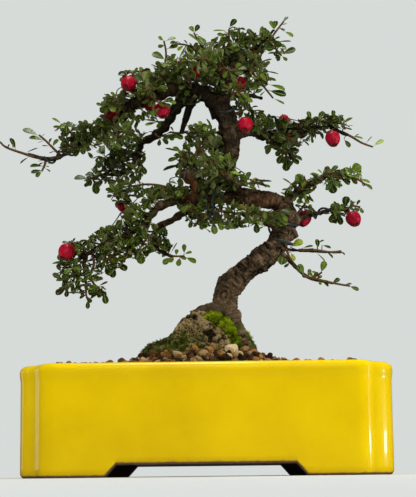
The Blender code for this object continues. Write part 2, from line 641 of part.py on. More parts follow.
def make_wire(name, branch, share_from, share_to, wood_tree, finish):
    """A training wire wound round a stretch of branch, held just off the bark."""
    points = branch[0]
    route, radii = smooth_route(points, np.linspace(branch[1], branch[2], len(points)), 0.8)
    first, last = (int(share * (len(route) - 1)) for share in (share_from, share_to))
    route, radii = route[first:last], radii[first:last]
    _, across, over = frames(route)
    lengths = np.concatenate([[0], np.cumsum(np.linalg.norm(np.diff(route, axis=0), axis=1))])
    steps = int(lengths[-1] / WIRE_PITCH * WIRE_STEPS_PER_TURN)
    coil = []
    for step in range(steps + 1):
        along = lengths[-1] * step / steps
        turn = 2 * math.pi * step / WIRE_STEPS_PER_TURN
        index = min(int(np.searchsorted(lengths, along)), len(route) - 1)
        away = math.cos(turn) * across[index] + math.sin(turn) * over[index]
        place = route[index] + away * (radii[index] + WIRE_RADIUS)
        for _ in range(6):
            if wood_tree.find_nearest(Vector(place))[3] >= WIRE_RADIUS + WIRE_OFF_BARK:
                break
            place = place + away * WIRE_RADIUS / 2
        coil.append(place)
    coil = np.array(coil)
    return tube_solid(name, coil, np.full(len(coil), WIRE_RADIUS), 4, finish)


def seat(place, wood_tree):
    """The nearest point of the bark and the way out of it."""
    nearest, normal, _, _ = wood_tree.find_nearest(Vector(place))
    return np.array(nearest), np.array(normal)


def make_berry(name, middle, blossom, wood_tree, finish):
    """A round pome with a sunk blossom end, on a short stalk that reaches the wood."""
    middle = np.array(middle, dtype=float)
    blossom = np.array(blossom, dtype=float) / np.linalg.norm(blossom)
    bark = seat(middle, wood_tree)[0]
    distance = np.linalg.norm(middle - bark)
    if distance < BERRY_RADIUS + BERRY_OFF_BARK:
        middle = bark + (middle - bark) / distance * (BERRY_RADIUS + BERRY_OFF_BARK)
    sides = BERRY_SIDES
    spin = Vector((0, 0, -1)).rotation_difference(Vector(blossom)).to_matrix()
    points = []
    for reach, height in BERRY_PROFILE:
        for side in range(sides):
            turn = 2 * math.pi * side / sides
            local = Vector((reach * math.cos(turn), reach * math.sin(turn), height)) * BERRY_RADIUS
            points.append(np.array(spin @ local) + middle)
    rings = len(BERRY_PROFILE)
    points.append(np.array(spin @ Vector((0, 0, BERRY_EYE)) * BERRY_RADIUS) + middle)
    points.append(np.array(spin @ Vector((0, 0, BERRY_TOP)) * BERRY_RADIUS) + middle)
    faces = []
    for side in range(sides):
        following = (side + 1) % sides
        faces.append((side, following, rings * sides))
        faces.append(((rings - 1) * sides + side, (rings - 1) * sides + following, rings * sides + 1))
        for ring in range(rings - 1):
            faces.append((ring * sides + side, ring * sides + following,
                          (ring + 1) * sides + following, (ring + 1) * sides + side))
    berry = solid(name, points, faces, finish)
    stalk_top = middle - blossom * BERRY_RADIUS * 0.7
    crown = middle - blossom * BERRY_RADIUS * 1.35
    bark, out = seat(crown, wood_tree)
    route, radii = smooth_route([stalk_top, crown, bark + out * (GAP + 0.9), bark + out * (GAP + 0.1)],
                                [STALK_RADIUS] * 4, 3.0)
    combine(berry, [tube_solid("stalk", route, radii, 4)], "UNION")
    return smooth(berry, 50)


def leaf_points(root, ahead, normal, size, droop):
    """A small obovate blade: five points round its edge, blunt at the tip, where it bends down."""
    across = np.cross(normal, ahead)
    faces = []
    points = []
    for side in (0.5, -0.5):
        for along, beside, lift in LEAF_OUTLINE:
            rise = lift * LEAF_HALF_WIDTH - droop * along ** 2
            thickness = LEAF_THICKNESS if along > 0 else STEM_THICKNESS
            points.append(root + size * (ahead * along * LEAF_LENGTH + across * beside * LEAF_HALF_WIDTH
                                         + normal * rise) + normal * side * thickness)
    count = len(LEAF_OUTLINE)
    for first, second, third in ((0, 1, 4), (1, 2, 4), (2, 3, 4)):
        faces.append((first, second, third))
        faces.append((third + count, second + count, first + count))
    for index in range(count):
        following = (index + 1) % count
        faces.append((index, following, following + count, index + count))
    return points, faces


def grown(points, factor):
    points = np.array(points)
    middle = points.mean(axis=0)
    return middle + (points - middle) * factor


def crosses(shape, others):
    return any(shape.overlap(other) for other in others)


def leaf_spots(route, spacing, tip):
    """Places along a twig for leaves: the point, the way along it, and how many before it."""
    lengths = np.concatenate([[0], np.cumsum(np.linalg.norm(np.diff(route, axis=0), axis=1))])
    tangents, sides, over = frames(route)
    spots = []
    place = spacing * 0.9
    while place < lengths[-1] - spacing * 0.4:
        index = int(np.searchsorted(lengths, place))
        share = (place - lengths[index - 1]) / (lengths[index] - lengths[index - 1])
        point = route[index - 1] * (1 - share) + route[index] * share
        spots.append((point, tangents[index], sides[index], over[index], len(spots), False))
        place += spacing
    if tip:
        last = route[-1] - tangents[-1] * 0.3
        spots.append((last, tangents[-1], sides[-1], over[-1], len(spots), True))
    return spots


def grow_leaf(spot, draw, obstacles, own):
    """A leaf at a spot that is clear of everything already there, or none after a few tries."""
    point, tangent, side, over, count, at_tip = spot
    for attempt in range(7):
        turn = count * math.radians(137.5) + draw.uniform(-0.4, 0.4) + attempt * 0.9
        angle = math.radians(8 if at_tip else LEAF_ANGLE + draw.uniform(-12, 12))
        away = side * math.cos(turn) + over * math.sin(turn)
        ahead = tangent * math.cos(angle) + away * math.sin(angle)
        ahead /= np.linalg.norm(ahead)
        up = np.array((draw.uniform(-0.5, 0.5), draw.uniform(-0.6, 0.3), 1.0))
        normal = up - ahead * np.dot(up, ahead)
        if np.linalg.norm(normal) < 0.35:
            normal = away - ahead * np.dot(away, ahead) + up * 0.2
            normal -= ahead * np.dot(normal, ahead)
        normal /= np.linalg.norm(normal)
        size = draw.uniform(0.85, 1.08)
        points, faces = leaf_points(point, ahead, normal, size, draw.uniform(0.1, 0.9))
        wide = tree_of(grown(points, 1.14), faces)
        if not crosses(wide, obstacles) and not crosses(tree_of(grown(points, 0.8), faces), own):
            own.append(tree_of(grown(points, 0.8), faces))
            return points, faces
    return None


def clear_route(points, wood_tree, obstacles, draw, radius):
    """A twig's route from the bark outwards, nudged until it crosses nothing."""
    for attempt in range(40):
        wobble = 0.2 * attempt
        moved = [np.array(point, dtype=float) + [draw.uniform(-wobble, wobble) for _ in range(3)]
                 for point in points]
        best = -1.0
        for share in (0.0, 0.15, 0.3, 0.45):
            near, away = seat(moved[0] * (1 - share) + moved[1] * share, wood_tree)
            ahead = (moved[1] - near) / np.linalg.norm(moved[1] - near)
            if float(np.dot(ahead, away)) > best:
                best = float(np.dot(ahead, away))
                bark, out = near, away
        tilt = math.sqrt(max(0.0, 1 - best ** 2))
        places = [bark + out * (GAP + 0.05 + radius * tilt)] + moved[1:]
        route, radii = smooth_route(places, np.linspace(radius, TWIG_TIP_RADIUS, len(places)), TWIG_STEP)
        body = tree_of(*tube(route, radii, 4))
        wide = tree_of(*tube(route[1:], radii[1:] + TWIG_CLEARANCE, 4))
        if not crosses(body, obstacles) and not crosses(wide, obstacles[1:]):
            if not crosses(tree_of(*tube(route[1:], radii[1:] + 0.1, 4)), obstacles[:1]):
                return route, radii
    return None


def shoot_route(route, index, draw, turn):
    """A side shoot that leaves a twig at one of its points and rises a little."""
    tangents, sides, over = frames(route)
    away = sides[index] * math.cos(turn) + over[index] * math.sin(turn)
    ahead = tangents[index] * 0.6 + away * 0.8
    length = SHOOT_LENGTH * draw.uniform(0.85, 1.15)
    end = route[index] + ahead * length + np.array((0.0, 0.0, 0.8))
    return np.array([route[index], end]), np.array([SHOOT_RADIUS, SHOOT_RADIUS])


def make_spray(name, points, shoots, seed, wood_tree, obstacles, finish):
    """A leafy twig, grown again with other draws until its leaves join it in one sound body."""
    for attempt in range(12):
        spray = grow_spray(name, points, shoots, seed + 100 * attempt, wood_tree, obstacles, finish)
        if is_sound(spray):
            return spray
        bpy.data.objects.remove(spray, do_unlink=True)
    raise RuntimeError("no sound body for " + name)


def grow_spray(name, points, shoots, seed, wood_tree, obstacles, finish):
    """One leafy twig: the twig, its side shoots and their leaves, joined in one body."""
    draw = random.Random(seed)
    found = clear_route(points, wood_tree, obstacles, draw, TWIG_RADIUS)
    if found is None:
        raise RuntimeError("no clear way for " + name)
    route, radii = found
    own = []
    twigs = [(route, radii)]
    for count in range(shoots):
        index = min(len(route) - 2, 2 + count * max(1, (len(route) - 3) // max(shoots, 1)))
        for attempt in range(8):
            turn = count * math.pi + attempt * 0.8 + draw.uniform(-0.3, 0.3)
            side_route, side_radii = shoot_route(route, index, draw, turn)
            outer = [side_route[0] * 0.7 + side_route[1] * 0.3, side_route[1]]
            wide = tree_of(*tube(np.array(outer), side_radii + TWIG_CLEARANCE, 4))
            if not crosses(wide, obstacles):
                twigs.append((side_route, side_radii))
                break
    spray = tube_solid(name, route, radii, 4, finish)
    parts = [tube_solid("shoot", side_route, side_radii, 3) for side_route, side_radii in twigs[1:]]
    for twig_route, _ in twigs:
        for spot in leaf_spots(twig_route, LEAF_SPACING, True):
            made = grow_leaf(spot, draw, obstacles, own)
            if made is not None:
                parts.append(solid("leaf", *made))
    combine(spray, parts, "UNION")
    return spray


def finish_in_metres(pieces):
    """Scales every mesh to metres and hangs the objects on one empty that holds the pot's offset."""
    stand = bpy.data.objects.new("bonsai", None)
    stand.location = (POT_OFFSET_X * METRES_PER_MM, 0, 0)
    bpy.context.scene.collection.objects.link(stand)
    for piece in pieces:
        piece.data.transform(Matrix.Scale(METRES_PER_MM, 4))
        piece.parent = stand


def main():
    clear_scene()
    glaze = material("glaze", (0.80, 0.58, 0.01), 0.18)
    bark = material("bark", (0.11, 0.08, 0.06), 0.85)
    green = material("leaf_green", (0.07, 0.14, 0.03), 0.45)
    red = material("berry_red", (0.60, 0.02, 0.05), 0.35)
    earth = material("grit", (0.25, 0.17, 0.10), 0.95)
    stone = material("porous_rock", (0.22, 0.17, 0.11), 0.95)
    moss_green = material("moss_green", (0.12, 0.26, 0.02), 0.95)
    metal = material("wire_grey", (0.16, 0.19, 0.20), 0.4, 0.8)
    plastic = material("screen_black", (0.03, 0.03, 0.03), 0.6)

    pot = make_pot(glaze)
    screens = [make_screen("screen_left", -DRAIN_X, plastic), make_screen("screen_right", DRAIN_X, plastic)]
    trunk = make_wood(bark)
    rock = rock_solid("rock", 0.0, stone)
    combine(rock, wood_pieces(GAP, True), "DIFFERENCE")
    moss = []
    for name in MOSS:
        patch = moss_solid(name, 0.0, moss_green)
        combine(patch, wood_pieces(GAP, True) + [rock_solid("rock_room", GAP)], "DIFFERENCE")
        moss.append(patch)
    room = [rock_solid("rock_room", GAP)] + wood_pieces(GAP, True)
    room += [moss_solid(name, GAP) for name in MOSS]
    half = SCREEN_SIZE / 2 + GAP
    ceiling = POT_FLOOR_TOP + GAP * 2 + SCREEN_THICKNESS
    for x in (-DRAIN_X, DRAIN_X):
        square = [(x - half, -half), (x + half, -half), (x + half, half), (x - half, half)]
        room.append(loft("screen_room", [(square, POT_FLOOR_TOP), (square, ceiling)]))
    soil = make_soil(earth, room)
    solids = [pot, soil, rock, trunk] + screens + moss

    wood_tree = tree_of_object(trunk)
    wires = [make_wire("wire_left", BRANCHES["left_high"], 0.70, 0.93, wood_tree, metal),
             make_wire("wire_right", BRANCHES["right_low"], 0.5, 0.95, wood_tree, metal)]
    berries = [make_berry(name, middle, blossom, wood_tree, red)
               for name, (middle, blossom) in BERRIES.items()]
    obstacles = [wood_tree] + [tree_of_object(made) for made in [pot, soil, rock] + moss + wires + berries]
    sprays = []
    for seed, (name, (points, shoots)) in enumerate(SPRAYS.items()):
        spray = make_spray(name, points, shoots, seed, wood_tree, obstacles, green)
        obstacles.append(tree_of_object(spray))
        sprays.append(spray)
    finish_in_metres(solids + wires + berries + sprays)


main()
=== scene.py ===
# A cotoneaster bonsai grown over a rock, in a yellow glazed pot: its looks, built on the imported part.
# Shapes are worked out in millimetres from the middle of the pot's base and put into the frame's metres.
import math

import bmesh
import bpy
import numpy as np
from mathutils import Matrix


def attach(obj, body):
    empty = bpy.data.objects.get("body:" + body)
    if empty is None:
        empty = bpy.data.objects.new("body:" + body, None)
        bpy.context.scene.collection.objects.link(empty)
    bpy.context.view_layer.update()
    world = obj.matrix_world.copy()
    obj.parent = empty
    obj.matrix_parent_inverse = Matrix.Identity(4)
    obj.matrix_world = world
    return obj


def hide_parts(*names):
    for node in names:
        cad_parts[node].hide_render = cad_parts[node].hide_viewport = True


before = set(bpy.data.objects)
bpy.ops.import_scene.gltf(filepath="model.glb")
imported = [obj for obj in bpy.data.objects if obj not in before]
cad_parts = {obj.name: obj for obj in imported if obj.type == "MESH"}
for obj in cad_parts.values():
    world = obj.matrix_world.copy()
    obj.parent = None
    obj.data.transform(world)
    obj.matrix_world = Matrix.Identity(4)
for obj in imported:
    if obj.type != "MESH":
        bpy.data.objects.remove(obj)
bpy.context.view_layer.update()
print("packed part loaded,", len(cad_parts), "nodes")

potMiddleX = 3.0           # the pot stands this far right of the frame's origin
goldenTurn = math.radians(137.5)


# Mesh and shape tools

def inFrame(points):
    # pot millimetres to the frame's metres
    return (np.asarray(points, float) + (potMiddleX, 0.0, 0.0)) * 0.001


def fromFrame(points):
    return np.asarray(points, float) * 1000 - (potMiddleX, 0.0, 0.0)


def fillMesh(mesh, points, faces):
    # faces is a list of arrays, each of triangles or of quads
    corners = np.concatenate([part.ravel() for part in faces]).astype(np.int32)
    sizes = np.concatenate([np.full(len(part), part.shape[1]) for part in faces])
    starts = np.concatenate([[0], np.cumsum(sizes)[:-1]]).astype(np.int32)
    mesh.vertices.add(len(points))
    mesh.vertices.foreach_set("co", np.asarray(points, np.float32).ravel())
    mesh.loops.add(len(corners))
    mesh.loops.foreach_set("vertex_index", corners)
    mesh.polygons.add(len(sizes))
    mesh.polygons.foreach_set("loop_start", starts)
    mesh.update(calc_edges=True)


def newObject(name, data):
    made = bpy.data.objects.new(name, data)
    bpy.context.scene.collection.objects.link(made)
    return made


def putPiece(name, points, faces, coats, slot, nodes=(), faceCoat=None, marks=None, sharp=None):
    # a piece at the origin with its place in its mesh; coats name its finishes, faceCoat picks one of them for
    # each face, and marks are named numbers, one for each point
    mesh = bpy.data.meshes.new(name)
    fillMesh(mesh, inFrame(points), faces)
    mesh.shade_smooth()
    if sharp is not None:
        mesh.set_sharp_from_angle(angle=math.radians(sharp))
    for coat in coats:
        mesh.materials.append(finishes[coat])
    if faceCoat is not None:
        mesh.polygons.foreach_set("material_index", np.asarray(faceCoat, np.int32))
    for label, values in (marks or {}).items():
        made = mesh.attributes.new(label, "FLOAT", "POINT")
        made.data.foreach_set("value", np.asarray(values, np.float32))
    piece = newObject(name, mesh)
    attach(piece, "root")
    if nodes:
        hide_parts(*nodes)
    return piece


def joinShapes(shapes):
    # shapes are (points, faces); the faces' numbers are moved on by the points before them
    points, faces, before = [], [], 0
    for shapePoints, shapeFaces in shapes:
        points.append(shapePoints)
        faces += [part + before for part in shapeFaces]
        before += len(shapePoints)
    return np.concatenate(points), faces


def noise(points, size, seed):
    # smooth random values from -1 to 1: a lattice of random numbers, one size apart, blended by an S curve
    table = np.random.default_rng(seed).uniform(-1, 1, (32, 32, 32))
    spot = np.asarray(points, float) / size + 500.0
    cell = np.floor(spot).astype(int)
    share = spot - cell
    share = share * share * (3 - 2 * share)
    total = 0.0
    for corner in np.ndindex(2, 2, 2):
        weight = np.where(corner, share, 1 - share).prod(axis=-1)
        x, y, z = np.moveaxis((cell + corner) % 32, -1, 0)
        total = total + weight * table[x, y, z]
    return total


def smoothStep(values, low, high):
    # 0 up to low, 1 from high on, and between them three squares of the share less two cubes
    share = np.clip((values - low) / (high - low), 0, 1)
    return share * share * (3 - 2 * share)


def bell(points, middle, reach):
    # 1 at the middle, falling off with the square of the distance over the reach
    return np.exp(-(((points - middle) / reach) ** 2).sum(axis=1))


def unit(ways):
    # each way divided by its length
    return ways / np.linalg.norm(ways, axis=-1, keepdims=True)


def squared(up, ahead):
    # what is left of the ways up when they are made square to the ways ahead
    return unit(up - ahead * (up * ahead).sum(1, keepdims=True))


def turned(turn, first, second):
    # ways turned from the first towards the second, one for each turn
    return first * np.cos(turn)[:, None] + second * np.sin(turn)[:, None]


def turnsOf(sides):
    # a whole turn in equal steps
    return 2 * math.pi * np.arange(sides) / sides


def runLength(route):
    # how far along the route each of its points lies: the sum of the steps up to it
    return np.concatenate([[0], np.cumsum(np.linalg.norm(np.diff(route, axis=0), axis=1))])


def smoothRoute(points, spacing, *carried):
    # a rounded curve through the points, evened out to one spacing; carried values are read along it
    given = np.array(points, float)
    ends = np.vstack([2 * given[0] - given[1], given, 2 * given[-1] - given[-2]])
    share = np.linspace(0, 1, 12, endpoint=False)[:, None]
    before, start, stop, after = (ends[shift:len(ends) - 3 + shift, None] for shift in range(4))
    curve = (2 * start + (stop - before) * share + (2 * before - 5 * start + 4 * stop - after) * share ** 2
             + (3 * start - before - 3 * stop + after) * share ** 3) / 2
    fine = np.vstack([curve.reshape(-1, 3), given[-1:]])
    length = runLength(fine)
    even = np.linspace(0, length[-1], max(2, round(length[-1] / spacing)) + 1)
    route = np.stack([np.interp(even, length, fine[:, axis]) for axis in range(3)], -1)
    stations = length[np.append(np.arange(len(given) - 1) * 12, -1)]
    return (route, *[np.interp(even, stations, values) for values in carried])


def smoothTable(table, spacing):
    # a rounded route and its radii from rows of a place and a radius
    places, radii = zip(*table)
    return smoothRoute(places, spacing, radii)


def crossWays(route):
    # the way along each point of a route and two ways across it, carried on without a spin
    ahead = unit(np.gradient(route, axis=0))
    aside = np.cross(ahead[0], (0.31, 0.17, 0.93))
    sides = np.empty_like(ahead)
    for index, way in enumerate(ahead):
        aside = unit(aside - way * (aside @ way))
        sides[index] = aside
    return ahead, sides, np.cross(ahead, sides)


def ringFaces(rings, sides, first=0):
    # quads between closed rings, then a fan at each end to the two points that follow the rings
    here = first + np.arange((rings - 1) * sides).reshape(rings - 1, sides)
    beside = np.roll(here, -1, axis=1)
    walls = np.stack([here, beside, beside + sides, here + sides], -1).reshape(-1, 4)
    start = first + np.arange(sides)
    stop = start + (rings - 1) * sides
    pole = first + rings * sides
    startFan = np.stack([np.full(sides, pole), np.roll(start, -1), start], -1)
    stopFan = np.stack([np.full(sides, pole + 1), stop, np.roll(stop, -1)], -1)
    return [walls, np.concatenate([startFan, stopFan])]


def tube(route, radii, sides):
    # circles square to the route, closed at both ends; a radius may be one number a ring, or one a point
    _, across, over = crossWays(route)
    turn = turnsOf(sides)
    reach = radii[:, None] if np.ndim(radii) == 1 else radii
    rings = route[:, None] + turned(turn, across[:, None], over[:, None]) * reach[..., None]
    points = np.vstack([rings.reshape(-1, 3), route[:1], route[-1:]])
    return points, ringFaces(len(route), sides)


def readMesh(mesh):
    points = np.empty(len(mesh.vertices) * 3, np.float32)
    mesh.vertices.foreach_get("co", points)
    normals = np.empty(len(mesh.vertices) * 3, np.float32)
    mesh.vertices.foreach_get("normal", normals)
    corners = np.empty(len(mesh.loops), np.int32)
    mesh.loops.foreach_get("vertex_index", corners)
    return points.reshape(-1, 3).astype(float), normals.reshape(-1, 3).astype(float), corners.reshape(-1, 4)


def remeshed(points, faces, voxel, smoothing):
    # one closed skin of small quads round everything given, smoothed, as points, normals and quads
    mesh = bpy.data.meshes.new("rough")
    fillMesh(mesh, points, faces)
    rough = newObject("rough", mesh)
    skin = rough.modifiers.new("skin", "REMESH")
    skin.mode = "VOXEL"
    skin.voxel_size = voxel
    soften = rough.modifiers.new("soften", "SMOOTH")
    soften.iterations = smoothing
    result = bpy.data.meshes.new_from_object(rough.evaluated_get(bpy.context.evaluated_depsgraph_get()))
    read = readMesh(result)
    bpy.data.objects.remove(rough)
    bpy.data.meshes.remove(mesh)
    bpy.data.meshes.remove(result)
    return read


def readShape(shape):
    points = np.array([vertex.co[:] for vertex in shape.verts])
    faces = np.array([[vertex.index for vertex in face.verts] for face in shape.faces])
    shape.free()
    return points, faces


def nodeShape(node):
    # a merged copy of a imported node, in pot millimetres
    shape = bmesh.new()
    shape.from_mesh(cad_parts[node].data)
    bmesh.ops.remove_doubles(shape, verts=shape.verts[:], dist=1e-6)
    bmesh.ops.triangulate(shape, faces=shape.faces[:])
    points, faces = readShape(shape)
    return fromFrame(points), [faces]


# Material tools

class Nodes:
    # short ways to add to a node tree; each gives back the socket that carries its result
    def __init__(self, tree):
        self.tree = tree

    def put(self, value, socket):
        if isinstance(value, bpy.types.NodeSocket):
            self.tree.links.new(value, socket)
        else:
            socket.default_value = (*value, 1.0) if socket.type == "RGBA" else value

    def add(self, kind, inputs=None, **settings):
        made = self.tree.nodes.new("ShaderNode" + kind)
        for key, value in settings.items():
            setattr(made, key, value)
        for key, value in (inputs or {}).items():
            self.put(value, made.inputs[key])
        return made

    def sums(self, operation, *values, clamp=False):
        return self.add("Math", dict(enumerate(values)), operation=operation, use_clamp=clamp).outputs[0]

    def between(self, value, low, high, start=0.0, stop=1.0):
        return self.add("MapRange", {"Value": value, "From Min": low, "From Max": high, "To Min": start,
                                     "To Max": stop}).outputs["Result"]

    def mixed(self, share, first, second, way="MIX"):
        return self.add("Mix", {0: share, 6: first, 7: second}, data_type="RGBA", blend_type=way).outputs[2]


class Coat(Nodes):
    # a material in layers: base lays the lowest colour, lay and over the next ones, and done hands it over
    def __init__(self, name, roughness, values=None):
        self.material = bpy.data.materials.new(name)
        self.material.use_nodes = True
        super().__init__(self.material.node_tree)
        self.sockets = self.tree.nodes["Principled BSDF"].inputs
        self.sockets["Roughness"].default_value = roughness
        for key, value in (values or {}).items():
            self.sockets[key].default_value = value
        self.place = self.add("TexCoord").outputs["Object"]

    def cloud(self, scale, detail=4.0, roughness=0.6, place=None):
        place = self.place if place is None else place
        return self.add("TexNoise", {"Vector": place, "Scale": scale, "Detail": detail,
                                     "Roughness": roughness}).outputs["Fac"]

    def cells(self, scale):
        # a pattern of cells: how far each spot is from its cell's middle, and each cell's own random colour
        made = self.add("TexVoronoi", {"Vector": self.place, "Scale": scale}).outputs
        return made["Distance"], made["Color"]

    def pick(self, colour):
        # a random colour read as one random number
        return self.add("SeparateColor", {"Color": colour}).outputs[0]

    def mark(self, name):
        return self.add("Attribute", attribute_name=name).outputs["Fac"]

    def ramp(self, value, stops):
        made = self.add("ValToRGB", {"Fac": value})
        points = made.color_ramp.elements
        points.remove(points[1])
        points[0].position, points[0].color = stops[0][0], (*stops[0][1], 1.0)
        for position, colour in stops[1:]:
            points.new(position).color = (*colour, 1.0)
        return made.outputs["Color"]

    def base(self, value, stops):
        self.colour = self.ramp(value, stops)

    def lay(self, share, colour):
        self.colour = self.mixed(share, self.colour, colour)

    def over(self, value, low, high, share, colour):
        # the colour comes in as the value goes from low to high, up to the share
        self.lay(self.between(value, low, high, 0.0, share), colour)

    def tone(self, value, low, high, dark, light):
        # the layers so far are multiplied by a grey from dark to light
        grey = self.between(value, low, high, dark, light)
        grey = self.add("CombineColor", {0: grey, 1: grey, 2: grey}).outputs[0]
        self.colour = self.mixed(1.0, self.colour, grey, "MULTIPLY")

    def feed(self, socket, value):
        self.tree.links.new(value, self.sockets[socket])

    def done(self, height=None, depth=0.0):
        if height is not None:
            bump = self.add("Bump", {"Height": height, "Distance": depth, "Strength": 1.0})
            self.feed("Normal", bump.outputs["Normal"])
        self.feed("Base Color", self.colour)
        return self.material


# Finishes

def makeGlaze():
    # amber in three tones with a few dark pits; where the mark bare is high it is burnt, then worn to brown clay
    coat = Coat("yellowGlaze", 0.6, {"Specular IOR Level": 0.25, "Coat Weight": 0.6, "Coat Roughness": 0.03})
    coat.base(coat.cloud(26.0, 6.0), [(0.3, (0.59, 0.390, 0.0)), (0.5, (0.68, 0.462, 0.0)),
                                      (0.7, (0.75, 0.520, 0.0))])
    coat.over(coat.cloud(420.0, 2.0), 0.5, 0.8, 0.12, (0.62, 0.36, 0.01))
    distance, cell = coat.cells(62.0)
    chosen = coat.sums("GREATER_THAN", coat.pick(cell), 0.86)
    pit = coat.sums("MULTIPLY", chosen, coat.between(distance, 0.016, 0.03, 1.0, 0.0), clamp=True)
    coat.lay(pit, (0.10, 0.05, 0.01))
    edge = coat.sums("ADD", coat.mark("bare"), coat.between(coat.cloud(300.0), 0.3, 0.7, -0.12, 0.12))
    coat.over(edge, 0.25, 0.58, 1.0, (0.40, 0.20, 0.02))
    coat.over(edge, 0.55, 0.62, 1.0, coat.mixed(coat.cloud(900.0, 6.0), (0.07, 0.035, 0.014), (0.24, 0.14, 0.07)))
    coat.feed("Roughness", coat.between(edge, 0.5, 0.62, 0.2, 0.85))
    skin = coat.sums("MULTIPLY", coat.cloud(130.0, 3.0), 0.9)
    return coat.done(coat.sums("SUBTRACT", skin, pit), 0.00009)


def makeBark():
    # cracks and hollows are dark and ridges pale; rings run across the lower trunk, streaks follow the wood
    # above it, torn stretches are red-brown, and the mark dark lays near-black painted shade
    coat = Coat("oldBark", 0.82, {"Specular IOR Level": 0.25})
    coat.base(coat.cloud(130.0, 5.0), [(0.34, (0.014, 0.009, 0.004)), (0.50, (0.043, 0.025, 0.012)),
                                       (0.66, (0.100, 0.064, 0.033))])
    relief = coat.mark("relief")
    coat.over(relief, 0.60, 0.92, 0.58, (0.235, 0.160, 0.096))
    coat.over(relief, 0.48, 0.18, 0.95, (0.007, 0.0045, 0.0025))
    run = coat.add("CombineXYZ", {0: coat.mark("around"), 1: coat.mark("along"), 2: coat.cloud(60.0)}).outputs[0]
    streaks = coat.add("Mapping", {"Vector": run, "Scale": (1.0, 0.24, 3.0)}).outputs[0]
    rings = coat.add("Mapping", {"Vector": run, "Scale": (0.20, 1.3, 3.0)}).outputs[0]
    # the painted-shade mark dark also picks streaks over rings
    high = coat.between(coat.mark("dark"), 0.05, 0.35)
    lines = coat.add("Mix", {0: high, 2: coat.cloud(0.9, 5.0, place=rings),
                             3: coat.cloud(0.9, 6.0, place=streaks)})
    grain = coat.sums("MULTIPLY", coat.cloud(1100.0, 5.0), 0.4)
    fine = coat.sums("MULTIPLY_ADD", lines.outputs[0], 0.6, grain)
    coat.over(fine, 0.47, 0.66, 0.6, (0.20, 0.142, 0.088))
    coat.over(fine, 0.46, 0.34, 0.8, (0.010, 0.007, 0.004))
    worn = coat.sums("MULTIPLY", coat.mark("worn"), coat.between(fine, 0.3, 0.6, 0.2, 1.0))
    coat.lay(worn, (0.27, 0.175, 0.095))
    torn = coat.sums("MULTIPLY", coat.mark("torn"), coat.between(fine, 0.3, 0.55, 0.35, 1.0))
    coat.lay(torn, (0.20, 0.058, 0.020))
    # painted shade: the wood goes near-black where the mark dark is high
    coat.lay(coat.mark("dark"), (0.012, 0.009, 0.005))
    mossy = coat.sums("MULTIPLY", coat.mark("mossy"), coat.between(coat.cloud(520.0), 0.38, 0.6), clamp=True)
    coat.lay(mossy, (0.045, 0.062, 0.006))
    return coat.done(fine, 0.0009)


def makeTwigBark():
    coat = Coat("twigBark", 0.6)
    coat.base(coat.cloud(260.0), [(0.35, (0.024, 0.013, 0.006)), (0.6, (0.080, 0.038, 0.017))])
    coat.lay(coat.mark("young"), (0.22, 0.12, 0.030))
    return coat.done(coat.cloud(2400.0), 0.00008)


def makeLeafFinish(name, stops, midrib, edge, roughness, veins):
    # tint is one number for each leaf; rib runs from 0 on the midrib to 1 at the edges
    coat = Coat(name, roughness, {"Specular IOR Level": 0.5})
    coat.base(coat.mark("tint"), stops)
    coat.tone(coat.cloud(620.0, 3.0), 0.3, 0.7, 0.55, 1.35)
    coat.over(coat.mark("rib"), 0.2, 0.06, 0.55, midrib)
    # painted highlight: a paler rim along each leaf's edge
    coat.over(coat.mark("rib"), 0.78, 1.0, 0.5, edge)
    return coat.done(coat.cloud(1500.0, 2.0), veins)


def makeBerrySkin():
    # red with faint pale specks, dark and dull where the mark eye is high
    coat = Coat("berrySkin", 0.36, {"Specular IOR Level": 0.4, "Coat Weight": 0.08, "Coat Roughness": 0.15})
    coat.base(coat.cloud(240.0), [(0.34, (0.18, 0.001, 0.009)), (0.64, (0.39, 0.004, 0.023))])
    coat.over(coat.cells(1500.0)[0], 0.14, 0.06, 0.10, (0.80, 0.16, 0.16))      # pale specks
    eye = coat.mark("eye")
    coat.over(eye, 0.35, 0.9, 1.0, (0.045, 0.010, 0.008))
    coat.feed("Roughness", coat.between(eye, 0.3, 0.8, 0.36, 0.8))
    return coat.done(coat.cloud(900.0, 2.0), 0.00004)


def makeRockFace():
    # porous stone: brown and tan patches, pale ridges, near-black pores, and moss where it is damp
    coat = Coat("porousRock", 0.93)
    coat.base(coat.cloud(95.0, 8.0, 0.7), [(0.36, (0.016, 0.012, 0.003)), (0.50, (0.086, 0.056, 0.020)),
                                           (0.66, (0.235, 0.172, 0.062))])
    coat.over(coat.cloud(1000.0, 6.0, 0.7), 0.49, 0.66, 0.75, (0.36, 0.275, 0.125))
    coat.lay(coat.mark("crest"), (0.30, 0.215, 0.105))
    relief = coat.mark("relief")
    coat.over(relief, 0.62, 0.88, 0.7, (0.38, 0.265, 0.125))
    coat.over(relief, 0.50, 0.20, 0.95, (0.008, 0.006, 0.002))
    pores, _ = coat.cells(780.0)
    coat.over(pores, 0.36, 0.18, 0.95, (0.010, 0.007, 0.003))
    damp = coat.between(coat.cloud(420.0, 5.0), 0.36, 0.56)
    mossy = coat.sums("MULTIPLY", coat.mark("mossy"), damp, clamp=True)
    coat.lay(mossy, coat.ramp(coat.cloud(1500.0), [(0.3, (0.014, 0.019, 0.002)), (0.7, (0.085, 0.105, 0.008))]))
    rough = coat.sums("ADD", coat.cloud(1300.0, 6.0), coat.between(pores, 0.1, 0.4))
    return coat.done(rough, 0.0008)


def makeStoneGrain(name, stops):
    # tint picks each stone's own colour from the stops
    coat = Coat(name, 0.88)
    coat.base(coat.mark("tint"), stops)
    grain = coat.cloud(1300.0, 6.0)
    coat.tone(grain, 0.25, 0.75, 0.55, 1.3)
    return coat.done(grain, 0.00025)


